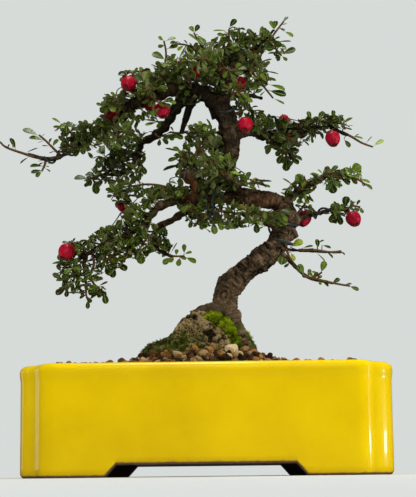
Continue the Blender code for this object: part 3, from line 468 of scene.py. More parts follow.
def makeSoilBed():
    # grains as cells, each with its own brown, and dark gaps between them
    coat = Coat("gritBed", 0.95)
    distance, cell = coat.cells(430.0)
    coat.base(coat.pick(cell), [(0.0, (0.018, 0.011, 0.006)), (0.45, (0.090, 0.048, 0.020)),
                                (0.75, (0.200, 0.120, 0.055)), (1.0, (0.070, 0.062, 0.050))])
    coat.over(distance, 0.30, 0.55, 0.85, (0.012, 0.008, 0.006))
    return coat.done(coat.sums("SUBTRACT", coat.cloud(1500.0), distance), 0.0009)


def makeMossFinish():
    coat = Coat("mossGreen", 0.95, {"Specular IOR Level": 0.2})
    coat.base(coat.mark("tint"), [(0.0, (0.007, 0.013, 0.001)), (0.4, (0.042, 0.068, 0.003)),
                                  (0.75, (0.165, 0.235, 0.005)), (1.0, (0.380, 0.450, 0.015))])
    coat.tone(coat.cloud(600.0), 0.3, 0.7, 0.6, 1.25)
    return coat.done()


def makeWireFinish():
    # metal with a blue-grey coat, duller in patches
    coat = Coat("anodisedWire", 0.38, {"Metallic": 0.75})
    coat.base(coat.cloud(500.0), [(0.3, (0.060, 0.082, 0.088)), (0.7, (0.165, 0.200, 0.205))])
    coat.feed("Roughness", coat.between(coat.cloud(1800.0), 0.3, 0.7, 0.28, 0.55))
    return coat.done()


def makeScreenPlastic():
    coat = Coat("blackMesh", 0.55)
    coat.base(coat.cloud(700.0), [(0.3, (0.012, 0.012, 0.012)), (0.7, (0.030, 0.030, 0.030))])
    return coat.done(coat.cloud(2500.0), 0.00005)


finishes = {
    "glaze": makeGlaze(),
    "bark": makeBark(),
    "twig": makeTwigBark(),
    "leafTop": makeLeafFinish("leafTop", [(0.0, (0.008, 0.020, 0.002)), (0.3, (0.024, 0.050, 0.004)),
                                          (0.6, (0.076, 0.126, 0.009)), (0.84, (0.180, 0.260, 0.020)),
                                          (0.955, (0.330, 0.390, 0.035)), (0.985, (0.62, 0.42, 0.01))],
                              (0.24, 0.29, 0.06), (0.27, 0.30, 0.08), 0.31, 0.00006),
    "leafUnder": makeLeafFinish("leafUnder", [(0.0, (0.060, 0.078, 0.020)), (0.5, (0.135, 0.165, 0.045)),
                                              (0.9, (0.260, 0.300, 0.075)), (0.985, (0.58, 0.42, 0.04))],
                                (0.30, 0.32, 0.11), (0.36, 0.36, 0.14), 0.6, 0.00004),
    "berry": makeBerrySkin(),
    "rock": makeRockFace(),
    "pebble": makeStoneGrain("pebbles", [(0.0, (0.016, 0.009, 0.004)), (0.2, (0.080, 0.034, 0.011)),
                                         (0.45, (0.270, 0.120, 0.028)), (0.65, (0.190, 0.115, 0.045)),
                                         (0.85, (0.420, 0.290, 0.130)), (1.0, (0.620, 0.470, 0.255))]),
    "bed": makeSoilBed(),
    "moss": makeMossFinish(),
    "wire": makeWireFinish(),
    "screen": makeScreenPlastic(),
}
print("finishes made")


# Camera, floor and light

camera = {
    "place": (8.0, -419.0, 0.8),      # millimetres in the frame: level with the pot's base
    "look": 12.9, "swing": 0.54, "roll": 0.65,      # degrees up, to the left, and the right side raised
    "focus": 986.0, "frameHeight": 497.0, "middle": (208.0, 248.5),     # the lens and the frame in pixels
}


def viewWays():
    # the camera's ways ahead, to the right and up: a swing and a look upwards, then right and up rolled together
    look, swing, roll = (math.radians(camera[key]) for key in ("look", "swing", "roll"))
    ahead = np.array([-math.sin(swing) * math.cos(look), math.cos(swing) * math.cos(look), math.sin(look)])
    right = unit(np.cross(ahead, (0, 0, 1)))
    up = np.cross(right, ahead)
    return ahead, right * math.cos(roll) - up * math.sin(roll), right * math.sin(roll) + up * math.cos(roll)


def inView(points):
    # pot millimetres to pixels of the front view: the sideways and upward parts over the distance ahead
    ahead, right, up = viewWays()
    gap = np.asarray(points, float) + (potMiddleX, 0, 0) - camera["place"]
    reach = gap @ ahead
    return np.stack([camera["middle"][0] + camera["focus"] * (gap @ right) / reach,
                     camera["middle"][1] - camera["focus"] * (gap @ up) / reach], -1)


def atView(places, depths):
    # the points in pot millimetres that are seen at these pixels, each at its own depth behind the pot's middle
    ahead, right, up = viewWays()
    places = np.asarray(places, float)
    side = (places[:, :1] - camera["middle"][0]) / camera["focus"]
    rise = (camera["middle"][1] - places[:, 1:]) / camera["focus"]
    ray = ahead + right * side + up * rise
    reach = (np.asarray(depths, float) - camera["place"][1]) / ray[:, 1]
    return np.array(camera["place"]) - (potMiddleX, 0, 0) + ray * reach[:, None]


def stand(thing, right, up, back, place):
    # turns and places a camera or lamp by the ways that its own axes take
    turn = np.eye(4)
    turn[:3] = np.column_stack([right, up, back, place])
    thing.matrix_world = Matrix(turn.tolist())


def setCamera():
    ahead, tilted, upright = viewWays()
    lens = bpy.data.cameras.new("camera")
    lens.sensor_fit = "VERTICAL"
    lens.sensor_height = 36.0
    lens.lens = camera["focus"] / camera["frameHeight"] * 36.0
    lens.clip_start = 0.01
    viewer = newObject("camera", lens)
    stand(viewer, tilted, upright, -ahead, np.array(camera["place"]) * 0.001)
    bpy.context.scene.camera = viewer


studio = {
    "backdrop": (0.672, 0.708, 0.690),      # what is seen behind the tree
    "roomLight": (0.117, 0.120, 0.113),     # the soft light that comes from all round
    "roomGloss": 0.22,                      # how much of it shows in glossy reflections
    "floor": (0.46, 0.47, 0.46),
    "fade": (0.18, 0.43),                   # metres from the middle where the floor takes the backdrop's colour
    "floorHalf": 3.0,
    "lamps": {      # place, aim and size in millimetres, watts, colour, whether glossy surfaces mirror it
        "above": ((40, 60, 640), (0, 0, 110), (560, 420), 4.4, (1.0, 0.99, 0.94), False),
        "front": ((40, -640, 360), (10, 0, 50), (420, 380), 3.45, (1.0, 0.99, 0.95), False),
        "window": ((445, -125, 10), (40, -30, 10), (50, 16), 0.065, (1.0, 1.0, 1.0), True),
        "leftWindow": ((-430, 150, 70), (-60, -40, 30), (120, 200), 0.05, (1.0, 1.0, 1.0), True),
        "left": ((-510, -120, 180), (-50, -20, 40), (160, 260), 0.6, (1.0, 1.0, 0.97), False),
        "right": ((505, -120, 200), (50, -20, 40), (160, 300), 1.8, (1.0, 1.0, 0.95), False),
        "behind": ((0, 900, 330), (0, 0, 110), (1500, 600), 0.8, (0.96, 1.0, 0.98), True),
        "skylight": ((-40, -120, 760), (0, 0, 80), (150, 150), 0.95, (1.0, 1.0, 1.0), True),
    },
}


def setStudio():
    # soft light from all round, a pale floor that takes the backdrop's colour far off, and the lamps
    world = bpy.data.worlds.new("paleRoom")
    bpy.context.scene.world = world
    world.use_nodes = True
    room = Nodes(world.node_tree)
    path = room.add("LightPath").outputs
    dim = [value * studio["roomGloss"] for value in studio["roomLight"]]
    light = room.mixed(path["Is Glossy Ray"], studio["roomLight"], dim)
    room.put(room.mixed(path["Is Camera Ray"], light, studio["backdrop"]),
             world.node_tree.nodes["Background"].inputs["Color"])
    coat = Coat("paleFloor", 0.8, {"Emission Color": (*studio["backdrop"], 1.0)})
    reach = coat.add("VectorMath", {0: coat.place}, operation="LENGTH").outputs["Value"]
    far = coat.between(reach, *studio["fade"])
    coat.colour = coat.mixed(far, studio["floor"], (0, 0, 0))
    coat.feed("Emission Strength", coat.sums("MULTIPLY", far, coat.add("LightPath").outputs["Is Camera Ray"]))
    mesh = bpy.data.meshes.new("floor")
    half = studio["floorHalf"]
    mesh.from_pydata([(-half, -half, 0), (half, -half, 0), (half, half, 0), (-half, half, 0)], [], [(0, 1, 2, 3)])
    mesh.materials.append(coat.done())
    floor = newObject("floor", mesh)
    floor.visible_glossy = False
    for name, (place, aim, size, power, colour, mirrored) in studio["lamps"].items():
        lamp = bpy.data.lights.new(name, "AREA")
        lamp.shape = "RECTANGLE"
        lamp.size, lamp.size_y = size[0] * 0.001, size[1] * 0.001
        lamp.energy = power
        lamp.color = colour
        holder = newObject(name, lamp)
        holder.visible_glossy = mirrored
        holder.visible_camera = False
        back = unit(inFrame(place) - inFrame(aim))
        side = unit(np.cross((0, 0, 1), back))
        stand(holder, side, np.cross(back, side), back, inFrame(place))
    bpy.context.scene.view_settings.view_transform = "Standard"


setCamera()
setStudio()
print("camera, floor and light set")


# The pot

pot = {
    "length": 144.0, "depth": 106.0, "height": 42.0, "flare": 1.0, "wall": 5.0, "taper": 1.5,
    "floorUnder": 4.7, "floorTop": 8.0, "lobe": 9.3, "hollow": 6.4, "lobeTurn": 57.0, "lipSwell": 0.35,
    "footRim": 8.0, "gapRise": (4.5, 0.9, 0.0), "gapFront": (33.1, 36.4, 37.16), "gapSide": (22.9, 26.2, 26.96),
    "drainRadius": 6.0, "drainX": 33.0, "cornerSteps": 10,
}


def potOutline(inset):
    # the plan, set in: straight sides with points close together at the feet, and corners whose heading turns
    # out round a lobe, back in a hollow and out round a second lobe; each turn's length follows the inset
    halfX, halfY = pot["length"] / 2 - inset, pot["depth"] / 2 - inset
    turn = pot["lobeTurn"]
    lobe = max(pot["lobe"] - math.radians(turn) * inset, 0.6)
    hollow = pot["hollow"] + math.radians(2 * turn - 90) * inset
    share = (np.arange(pot["cornerSteps"]) + 0.5) / pot["cornerSteps"]
    heading = np.radians(np.concatenate([share * turn, turn + share * (90 - 2 * turn), 90 - turn + share * turn]))
    length = np.repeat([lobe, hollow, lobe], pot["cornerSteps"]) / pot["cornerSteps"]
    bend = np.cumsum(np.stack([-np.sin(heading), np.cos(heading)], -1) * length[:, None], axis=0)
    sideRun = np.concatenate([np.linspace(0, 21, 5), np.linspace(22.4, 28, 9), [31]])
    frontRun = np.concatenate([np.linspace(0, 30, 7), np.linspace(32.4, 38, 9), np.linspace(41, 52, 4)])
    corner = np.concatenate([
        np.stack([np.full(len(sideRun), halfX), sideRun], -1),
        [(halfX, halfY - bend[-1, 1])], (halfX, halfY - bend[-1, 1]) + bend,
        np.stack([frontRun[::-1], np.full(len(frontRun), halfY)], -1)])
    backHalf = np.concatenate([corner[:-1], (corner[::-1] * (-1, 1))[:-1]])
    return np.concatenate([backHalf, -backHalf])


def wallInset(height):
    # the wall leans out by the flare on its way up, and the lip swells beyond it
    return pot["lipSwell"] + pot["flare"] * (1 - height / pot["height"])


def cavityInset(height):
    # the inner wall is set in by the wall's thickness, and by the taper towards the floor
    fall = (pot["height"] - height) / (pot["height"] - pot["floorTop"])
    return pot["wall"] + pot["lipSwell"] + pot["taper"] * fall


def footLift(outline):
    # how far the wall's lower edge rises in the gaps between the feet
    x, y = np.abs(outline).T
    front = np.interp(x, pot["gapFront"], pot["gapRise"]) * (y > 40)
    side = np.interp(y, pot["gapSide"], pot["gapRise"]) * (x > 60)
    return np.maximum(front, side)


def makePot():
    # rings of the plan's outline: under the floor, down the feet, up the wall, over the lip and down inside
    lipStart, wallStart, wallRings, cavityRings = 35.4, 1.2, 15, 9
    low = [(pot["footRim"] + 0.3, 0.0), (pot["footRim"] - 0.4, 0.0), (2.9, 0.0), (2.35, 0.08), (1.95, 0.35),
           (1.72, 0.75), (wallInset(wallStart), wallStart)]
    lip = [(0.40, 36.4), (0.26, 37.2), (0.12, 38.0), (0.03, 38.8), (0.02, 39.6), (0.18, 40.4), (0.52, 41.05),
           (1.05, 41.55), (1.75, 41.87), (2.6, 42.0), (3.7, 41.95), (4.6, 41.7), (5.1, 41.3), (5.3, 40.7)]
    rings, bare = [], []

    def addRing(inset, height, clay=0.0):
        outline = potOutline(inset)
        rings.append(np.column_stack([outline, np.broadcast_to(height, len(outline))]))
        bare.append(clay)

    addRing(pot["footRim"] + 0.3, pot["floorUnder"], 1.0)
    for inset, height in low:
        lift = np.minimum(footLift(potOutline(inset)) + height, pot["floorUnder"] + height)
        addRing(inset, lift, np.interp(height, (0.3, 0.8, 1.25), (1.0, 0.55, 0.25)))
    foot = footLift(potOutline(1.5)) + wallStart
    for share in np.linspace(0, 1, wallRings + 1)[1:]:
        addRing(wallInset(wallStart + (lipStart - wallStart) * share), foot + (lipStart - foot) * share)
    for inset, height in lip:
        addRing(inset, height)
    for height in np.linspace(39.5, pot["floorTop"], cavityRings):
        addRing(cavityInset(height), height, float(height < 37))
    points = np.vstack(rings + [(0, 0, pot["floorUnder"]), (0, 0, pot["floorTop"])])
    marks = {"bare": np.append(np.repeat(bare, len(rings[0])), [1.0, 1.0])}
    drillDrains(putPiece("potBody", points, ringFaces(len(rings), len(rings[0])), ["glaze"], "glaze",
                         ["pot"], marks=marks, sharp=50))


def drillDrains(piece):
    # two round holes through the floor, cut once and applied
    drills = []
    for side in (-1, 1):
        route = np.array([(side * pot["drainX"], 0, 2.0), (side * pot["drainX"], 0, 10.0)])
        points, faces = tube(route, np.full(2, pot["drainRadius"]), 40)
        mesh = bpy.data.meshes.new("drill")
        fillMesh(mesh, inFrame(points), faces)
        drill = newObject("drill", mesh)
        drills.append(drill)
        cut = piece.modifiers.new("drain", "BOOLEAN")
        cut.operation = "DIFFERENCE"
        cut.object = drill
    graph = bpy.context.evaluated_depsgraph_get()
    piece.data = bpy.data.meshes.new_from_object(piece.evaluated_get(graph), preserve_all_data_layers=True,
                                                 depsgraph=graph)
    piece.modifiers.clear()
    for drill in drills:
        bpy.data.objects.remove(drill)


makePot()
for name in ("screen_left", "screen_right"):
    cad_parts[name].data.materials.clear()
    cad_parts[name].data.materials.append(finishes["screen"])
print("pot made")


# Soil and loose stones

soil = {"edge": 40.3, "rise": 7.6, "halfX": 46.0, "halfY": 33.0, "ovalX": 68.0, "ovalY": 50.0, "gap": 0.3,
        "rings": 46}
stones = {"rimCount": 54, "footCount": 420, "gritCount": 1500, "planes": 10, "sharp": 30}


def soilHeight(x, y):
    # a flat-topped mound: its rise times e to the minus the distance from the middle to the power of 3.2
    spread = (x / soil["halfX"]) ** 2 + (y / soil["halfY"]) ** 2
    return soil["edge"] + soil["rise"] * np.exp(-spread ** 1.6)


def makeSoil():
    # a plug that fills the pot, with rings on top that turn from the pot's plan to ovals, roughened by noise
    rim = potOutline(cavityInset(soil["edge"]) + soil["gap"])
    foot = potOutline(cavityInset(pot["floorTop"]) + soil["gap"])
    count = len(rim)
    turn = np.arctan2(rim[:, 1] / soil["ovalY"], rim[:, 0] / soil["ovalX"])
    oval = np.stack([soil["ovalX"] * np.cos(turn), soil["ovalY"] * np.sin(turn)], -1)
    share = 1 - np.arange(1, soil["rings"]) / soil["rings"]
    blend = smoothStep(share, 0.75, 1.0)[:, None, None]
    flat = (rim * blend + oval * (1 - blend)) * share[:, None, None]
    flat = flat.reshape(-1, 2)
    height = soilHeight(flat[:, 0], flat[:, 1])
    spots = np.column_stack([flat, height])
    height = height + 0.55 * noise(spots, 1.7, 3) + 0.35 * noise(spots, 4.0, 4)
    top = np.column_stack([flat, height])
    base = np.column_stack([foot, np.full(count, pot["floorTop"] + soil["gap"])])
    edge = np.column_stack([rim, np.full(count, soil["edge"])])
    points = np.vstack([base, edge, top, (0, 0, pot["floorTop"] + soil["gap"]), (0, 0, soilHeight(0, 0))])
    putPiece("soilBed", points, ringFaces(2 + len(share), count), ["bed"], "grit", ["soil"])


def stoneTemplate(level):
    # a ball of triangles, one unit in radius
    shape = bmesh.new()
    bmesh.ops.create_icosphere(shape, subdivisions=level, radius=1.0)
    return readShape(shape)


def turnedFrames(draw, count):
    # random turns, as three square ways for each
    first = unit(draw.normal(size=(count, 3)))
    second = unit(np.cross(first, draw.normal(size=(count, 3))))
    return np.stack([first, second, np.cross(first, second)], 1)


def makeStones(name, places, radii, level, roughness, tints, seed):
    # each stone is a ball cut by random planes, pulled to three unequal widths, roughened and turned
    draw = np.random.default_rng(seed)
    points, faces = stoneTemplate(level)
    count = len(places)
    widths = np.stack([np.ones(count), draw.uniform(0.68, 1.0, count), draw.uniform(0.6, 0.9, count)], -1)
    planes = unit(draw.normal(size=(count, stones["planes"], 3)))
    facing = np.einsum("pk,nik->npi", points, planes)
    cuts = draw.uniform(0.52, 0.90, (count, 1, stones["planes"])) / np.maximum(facing, 0.05)
    shape = points[None] * np.minimum(cuts.min(axis=2), 1.0)[..., None]
    shape = shape * (1 + roughness * draw.uniform(-1, 1, (count, len(points), 1)))
    shape = shape * (widths * np.asarray(radii)[:, None] * 1.12)[:, None]
    shape = np.einsum("npk,nkj->npj", shape, turnedFrames(draw, count)) + np.asarray(places)[:, None]
    allFaces = (faces[None] + (np.arange(count) * len(points))[:, None, None]).reshape(-1, 3)
    marks = {"tint": np.repeat(tints, len(points))}
    putPiece(name, shape.reshape(-1, 3), [allFaces], ["pebble"], "grit", marks=marks,
             sharp=stones["sharp"])


rockMiddle = (-3.0, -9.0)
frontStones = [((10.2,-21,49.2), 3.5, 0.97), ((1,-23,49), 2.1, 0.5), ((13,-22,47.5), 2.1, 0.8),
               ((-5.5,-24,49.5), 2.5, 0.42), ((3.5,-20,51), 2.8, 0.6), ((19,-17,49), 2.0, 0.45),
               ((16,-16,51), 2.2, 0.6), ((-11,-25,47.5), 2.0, 0.75), ((26.5,-8,48.3), 1.6, 0.05),
               ((22.5,-10,48.3), 1.7, 0.3), ((-2,-26,47.5), 2.2, 0.3), ((6,-25,47.3), 2.3, 0.5),
               ((-16,-23,48), 2.4, 0.35), ((-21,-19,48.5), 2.3, 0.2), ((-26,-14,47.5), 2.4, 0.3),
               ((-42,-41,41.6), 2.2, 0.1), ((-37,-41,42), 2.4, 0.25), ((-32,-40,42.3), 2.7, 0.2),
               ((-27.5,-39,42), 2.2, 0.3), ((21,-42,41.6), 1.7, 0.8), ((34,-42,41.5), 1.6, 0.2),
               ((12,25,47), 3.0, 0.6)]


def scatterStones():
    # stones placed one by one, a row at the rim, a heap round the rock's foot and grit over all the soil
    draw = np.random.default_rng(21)
    places, radii, tints = (np.array(values, float) for values in zip(*frontStones))
    makeStones("frontPebbles", places, radii, 3, 0.055, tints, 1)
    count = stones["rimCount"]       # a row against the pot's front wall, seen over its rim
    x = np.where(draw.uniform(size=count) < 0.5, draw.uniform(-57, -16, count), draw.uniform(24, 58, count))
    size = draw.uniform(1.0, 1.7, count)
    y = draw.uniform(-45.6, -43.4, count)
    spots = np.stack([x, y, soil["edge"] + size * draw.uniform(0.8, 1.15, count)], -1)
    makeStones("rimPebbles", spots, size, 2, 0.1, draw.uniform(0.0, 0.7, count), 4)
    count = stones["footCount"]      # pebbles heaped up against the rock's foot
    turn = draw.uniform(0, 2 * math.pi, count)
    reach = draw.uniform(0.70, 1.06, count)
    x = rockMiddle[0] + 31 * reach * np.cos(turn)
    y = rockMiddle[1] + 23 * reach * np.sin(turn)
    size = draw.uniform(0.9, 2.1, count)
    heap = 2.8 * smoothStep(-reach, -1.05, -0.72) * draw.uniform(0.4, 1.0, count)
    spots = np.stack([x, y, soilHeight(x, y) + size * 0.2 + heap], -1)
    makeStones("rockFootPebbles", spots, size, 2, 0.11, draw.uniform(0.0, 0.95, count) ** 2.4, 2)
    count = stones["gritCount"]      # grains all over the soil, outside the rock
    x, y = draw.uniform(-64, 64, count), draw.uniform(-46, 46, count)
    free = ((x - rockMiddle[0]) / 27) ** 2 + ((y - rockMiddle[1]) / 22) ** 2 > 1
    free &= (np.abs(x) < 55) | (np.abs(y) < 36)
    x, y = x[free], y[free]
    size = draw.uniform(0.55, 1.25, len(x)) + draw.uniform(0, 1, len(x)) ** 6
    spots = np.stack([x, y, soilHeight(x, y) + size * 0.3], -1)
    makeStones("gritGrains", spots, size, 1, 0.16, draw.uniform(0, 0.8, len(x)), 3)


makeSoil()
scatterStones()
print("soil and stones made")


# Rock

# what fills the rock out below the left root, behind the moss, along its crest and at its foot
rockRidges = [
    [((-5.5,-8,65), 2.6), ((-8.7,-8,61.3), 2.8), ((-13,-9,56), 3.0), ((-18.5,-9,52), 4.0),
     ((-22.5,-10,49.3), 4.6), ((-24,-10,45), 4.4)],
    [((3,-2,65), 4.0), ((8,-4,59), 5.2), ((12,-6,53), 5.6), ((14,-8,47), 5.6)],
    [((-6,-10,66.2), 1.9), ((-2,-13.5,63), 2.2), ((3,-16.5,58), 2.3), ((7.5,-18,53), 2.2),
     ((11,-18.5,47), 2.4)],
    [((-4,-6,65), 3.0), ((0,-7,63), 3.4), ((5,-8,59), 4.2)],
    [((-22,-14,49), 3.6), ((-14,-19,48), 4.4), ((-4,-22,48), 4.0)],
    [((-6,-9.5,64), 2.8), ((-9,-13,58), 4.4), ((-11,-16,52), 5.0), ((-12,-18,47), 5.0)],
    [((-4,-11.5,62), 3.0), ((-2,-14.5,57), 4.6), ((0,-17,51), 5.0), ((2,-19,47), 4.6)],
    [((1.0,-14.2,61), 2.4), ((2.4,-16.6,57), 3.0), ((4.4,-18.2,52), 3.2), ((6,-19,48), 3.2)],
]


rock = {"voxel": 0.5, "soften": 3, "sides": 18, "lumps": ((0.7, 6.5, 5), (0.5, 3.2, 16)), "poreDepth": 1.3,
        "grooveDepth": 0.30, "soilLine": (40, 45)}      # a lump is its height, its size and its seed


def makeRock():
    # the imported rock's form and its ridges under a finer skin, with lumps, ledges and pores worn in by noise
    parts = [nodeShape("rock")] + [tube(*smoothTable(ridge, 1.0), rock["sides"]) for ridge in rockRidges]
    points, normals, quads = remeshed(*joinShapes(parts), rock["voxel"], rock["soften"])
    lumps = sum(height * noise(points, size, seed) for height, size, seed in rock["lumps"])
    pores = noise(points, 1.7, 7)
    grooves = noise(points * (0.8, 0.8, 1.2), 3.0, 8)
    fine = (0.50 * noise(points, 1.5, 9) + 0.32 * noise(points, 0.9, 12)
            - rock["poreDepth"] * smoothStep(pores, 0.18, 0.55)
            - rock["grooveDepth"] * smoothStep(-np.abs(grooves), -0.12, 0.0))
    out = smoothStep(points[:, 2], *rock["soilLine"])
    points = points + normals * ((lumps + fine) * out)[:, None]
    relief = np.clip(0.55 + 0.45 * fine + 0.18 * lumps, 0, 1)
    low = smoothStep(-points[:, 2], -64, -49) * smoothStep(-points[:, 0], -4, 8)
    crestLine = smoothTable(rockRidges[2], 1.0)[0] + (0.5, -2.0, 1.0)
    gap = np.min([np.linalg.norm(points - spot, axis=1) for spot in crestLine], axis=0)
    crest = smoothStep(-gap, -4.2, -1.4) * smoothStep(noise(points, 2.2, 11), -0.5, 0.3) * 0.7
    mossy = np.clip(low + 0.4 * smoothStep(noise(points, 6.0, 10), 0.0, 0.5) - crest, 0, 1)
    marks = {"relief": relief, "mossy": mossy, "crest": crest}
    putPiece("rockBody", points, [quads], ["rock"], "porous_rock", ["rock"], marks=marks)
    return points, normals, mossy


rockSurface = makeRock()
print("rock made")


# Trunk, roots and branches

trunkRoute = [((10,4,42), 7.2), ((9.2,3,52), 6.6), ((8.2,3,62), 6.1), ((7.8,2,69), 5.7),
              ((8.1,2,74.4), 5.3), ((9.8,1,78.6), 5.2), ((13.1,0,82.2), 5.2), ((18.6,-1,87.2), 4.7),
              ((25.0,-2,92.2), 4.9), ((31.0,-2,97.7), 4.6), ((33.2,-1,103.3), 5.1), ((35.6,-1,109), 4.2),
              ((36,0,113.5), 3.8), ((33,1,117), 3.8), ((26.5,1,118.6), 4.1), ((20,2,119.5), 3.8),
              ((14,2,121.5), 3.7), ((11,2,126), 3.6), ((10.4,1,133.6), 3.6), ((12.1,0,141.7), 4.1),
              ((11.5,-1,148.4), 4.3), ((10.4,-1,155.5), 4.0), ((8.2,-1,161), 4.7), ((8,0,166), 4.0),
              ((11,0,176), 2.4), ((14,0,186), 1.7), ((16,1,193), 1.1)]
rootRoutes = [
    [((7,1,68.8), 4.6), ((1.5,-3,68.6), 3.2), ((-4,-6,66.4), 2.6), ((-10,-6,60.3), 2.2),
     ((-17,-5,54), 2.2), ((-23,-5,48), 1.9), ((-26,-5,43), 1.6)],
    [((9,2,66), 5.0), ((11.8,0,59), 4.0), ((14.8,-2,53), 3.4), ((18.2,-4,47), 2.8), ((21,-5,42), 2.4)],
    [((9,-1,70), 3.4), ((11.8,-6,64.5), 2.7), ((14.2,-10,59.5), 2.2), ((16,-12.5,54), 2.1),
     ((19,-13.5,48.5), 2.3), ((21,-13,43), 2.2)],
    [((11,7,62), 4.4), ((15,13,54), 3.4), ((18,19,48), 2.8), ((20,23,42), 2.2)],
    [((7,6,63), 4.0), ((0,12,55), 2.9), ((-6,17,48), 2.4), ((-10,20,42), 1.8)],
]
knotRoute = [((36.5, -1, 102), 2.9), ((39.8, -1, 103.2), 1.9)]

# a ringed eye, at a pixel of the front view
trunkKnot = {"place": (222.4, 295.0), "depth": -4.2, "reach": 3.3}

# each branch: its points, its two end radii, then its leafy stretch as shares and the spacing of its spurs
branches = {
    "left_high": ([(7.5,0,160), (1,-2,166.6), (-8,-4,170), (-18,-6,167), (-26,-8,163), (-34,-9,159),
        (-40,-10,154), (-47,-11,147), (-53,-12,142), (-61,-13,136), (-68,-14,134), (-76,-15,136)], 3.6, 0.7,
        (0.16,0.97,1.9)),
    "left_inner": ([(-7,-3,168), (-12.8,4,163.4), (-17.6,9,157.4), (-23.2,12,152.8), (-29.4,14,149.6),
        (-31.5,15,143), (-37,16,137), (-47,17,136)], 3.1, 0.7, (0.36,1.0,1.9)),
    "left_stub": ([(-5,0,168), (-8.6,6,159), (-10.8,9,153)], 2.3, 0.9, (0.5,1.0,2.4)),
    "middle": ([(15,2,120), (3,-3,122), (-2,-6,127), (-5,-8,135)], 1.8, 0.8, (0.2,1.0,1.7)),
    "left_low": ([(22,2,119), (7,-1,119), (-1,-4,118), (-7,-6,118), (-14,-8,116), (-20,-10,113), (-24,-11,108),
        (-27,-12,104), (-34,-13,100), (-42,-14,96), (-49,-15,92), (-55,-15,88)], 2.9, 0.7, (0.16,1.0,1.8)),
    "left_under": ([(3,1,118), (-9,6,115), (-15,9,112), (-22,11,109), (-23,12,103), (-21,12,99), (-15,13,96)],
        1.9, 0.7, (0.5,1.0,2.6)),
    "right_middle": ([(34,0,115), (39,-2,120), (42,-4,122), (47,-6,124), (52,-8,126), (58,-9,127),
        (64,-10,125)], 2.1, 0.6, (0.16,1.0,2.4)),
    "right_low": ([(37,0,107), (42,4,111), (47,7,113), (53,9,115), (58,11,117)], 1.8, 0.7, (0.3,1.0,3.0)),
    "right_high": ([(14,0,149.6), (21,4,151.8), (26,7,151), (32,9,152), (39,11,154), (48,12,155), (56,13,157.5),
        (62,13,154.5), (66,13,152.5)], 2.6, 0.8, (0.12,0.86,1.7)),
    "right_hanging": ([(34,10,152), (37,7,145), (39,6,139)], 1.1, 0.6, (0.1,1.0,2.2)),
    "crown_right": ([(14,0,185), (21,-2,187), (27,-5,191), (32,-7,196)], 1.3, 0.6, (0.15,1.0,2.2)),
    "crown_side": ([(11,0,177), (20,-4,178), (25,-8,175), (28,-11,168)], 1.5, 0.6, (0.2,1.0,1.9)),
    "crown_back": ([(11,0,176), (8,9,183), (4,18,187)], 1.4, 0.7, (0.15,1.0,1.9)),
    "crown_front": ([(9,0,168), (7,-10,173), (3,-19,175)], 1.4, 0.7, (0.2,1.0,1.9)),
    "crown_left": ([(11,0,175), (4,-5,179), (-4,-8,182)], 1.3, 0.6, (0.15,1.0,1.8)),
    "inner_front": ([(33,-3,103), (27,-9,105), (19,-13,106)], 1.5, 0.8, (0.25,1.0,1.9)),
    "front": ([(17,2,121), (12,-8,124), (7,-18,125)], 1.6, 0.7, (0.25,1.0,1.8)),
    "right_twig": ([(31,-2,96), (41,3,96), (51,6,96), (60,8,96)], 0.9, 0.5, (0.15,0.95,5.0)),
    "right_hook": ([(31,-2,96), (40,-4,86), (45,-5,82), (54,-8,79)], 1.0, 0.6, (0.15,1.0,4.2)),
    "back_high": ([(14,0,143), (12,12,149), (8,23,152), (3,32,151)], 1.9, 0.7, (0.3,1.0,2.2)),
    "back_low": ([(25,2,118), (27,12,122), (30,22,124), (33,31,122)], 1.9, 0.7, (0.3,1.0,2.2)),
    "back_crown": ([(9,0,166), (18,8,171), (27,15,172)], 1.4, 0.7, (0.25,1.0,2.0)),
}
bark = {"voxel": 0.48, "ring": 0.9, "collar": 9.0, "torn": ((0, -3, 119), (9.0, 7.0, 4.5))}


def barkRelief(points, around, along):
    # lumps in space, wrinkles round the wood, and long cracks that follow it
    lumps = 0.95 * noise(points, 6.8, 31) + 0.42 * noise(points, 3.2, 32)
    flat = np.stack([around / 3.4, along / 0.75, np.zeros(len(points))], -1)
    wrinkles = noise(flat, 1.0, 33)
    long = np.stack([around / 1.15, along / 4.5, np.zeros(len(points))], -1)
    cracks = 1 - smoothStep(np.abs(noise(long, 1.0, 34)), 0.0, 0.24)
    rings = 1 - smoothStep(np.abs(noise(np.stack([around / 8, along / 1.5, around * 0], -1), 1.0, 38)), 0.0, 0.2)
    fine = 0.34 * wrinkles + 0.13 * noise(points, 0.9, 35) - 0.24 * cracks - 0.52 * rings
    return lumps, fine


def nearestAlong(points, routes):
    # for each point, how far along its nearest route it lies and its turn round it, in millimetres
    best = np.full(len(points), 1e9)
    along, around, size = np.zeros(len(points)), np.zeros(len(points)), np.ones(len(points))
    for route, radii in routes:
        _, across, over = crossWays(route)
        lengths = runLength(route)
        for start in range(0, len(points), 6000):
            part = slice(start, start + 6000)
            gap = points[part, None] - route[None]
            distance = np.linalg.norm(gap, axis=2) - radii
            nearest = distance.argmin(axis=1)
            rows = np.arange(len(nearest))
            closer = distance[rows, nearest] < best[part]
            offset = gap[rows, nearest]
            turn = np.arctan2((offset * over[nearest]).sum(1), (offset * across[nearest]).sum(1))
            best[part] = np.where(closer, distance[rows, nearest], best[part])
            along[part] = np.where(closer, lengths[nearest], along[part])
            around[part] = np.where(closer, turn * radii[nearest], around[part])
            size[part] = np.where(closer, radii[nearest], size[part])
    return along, around, size


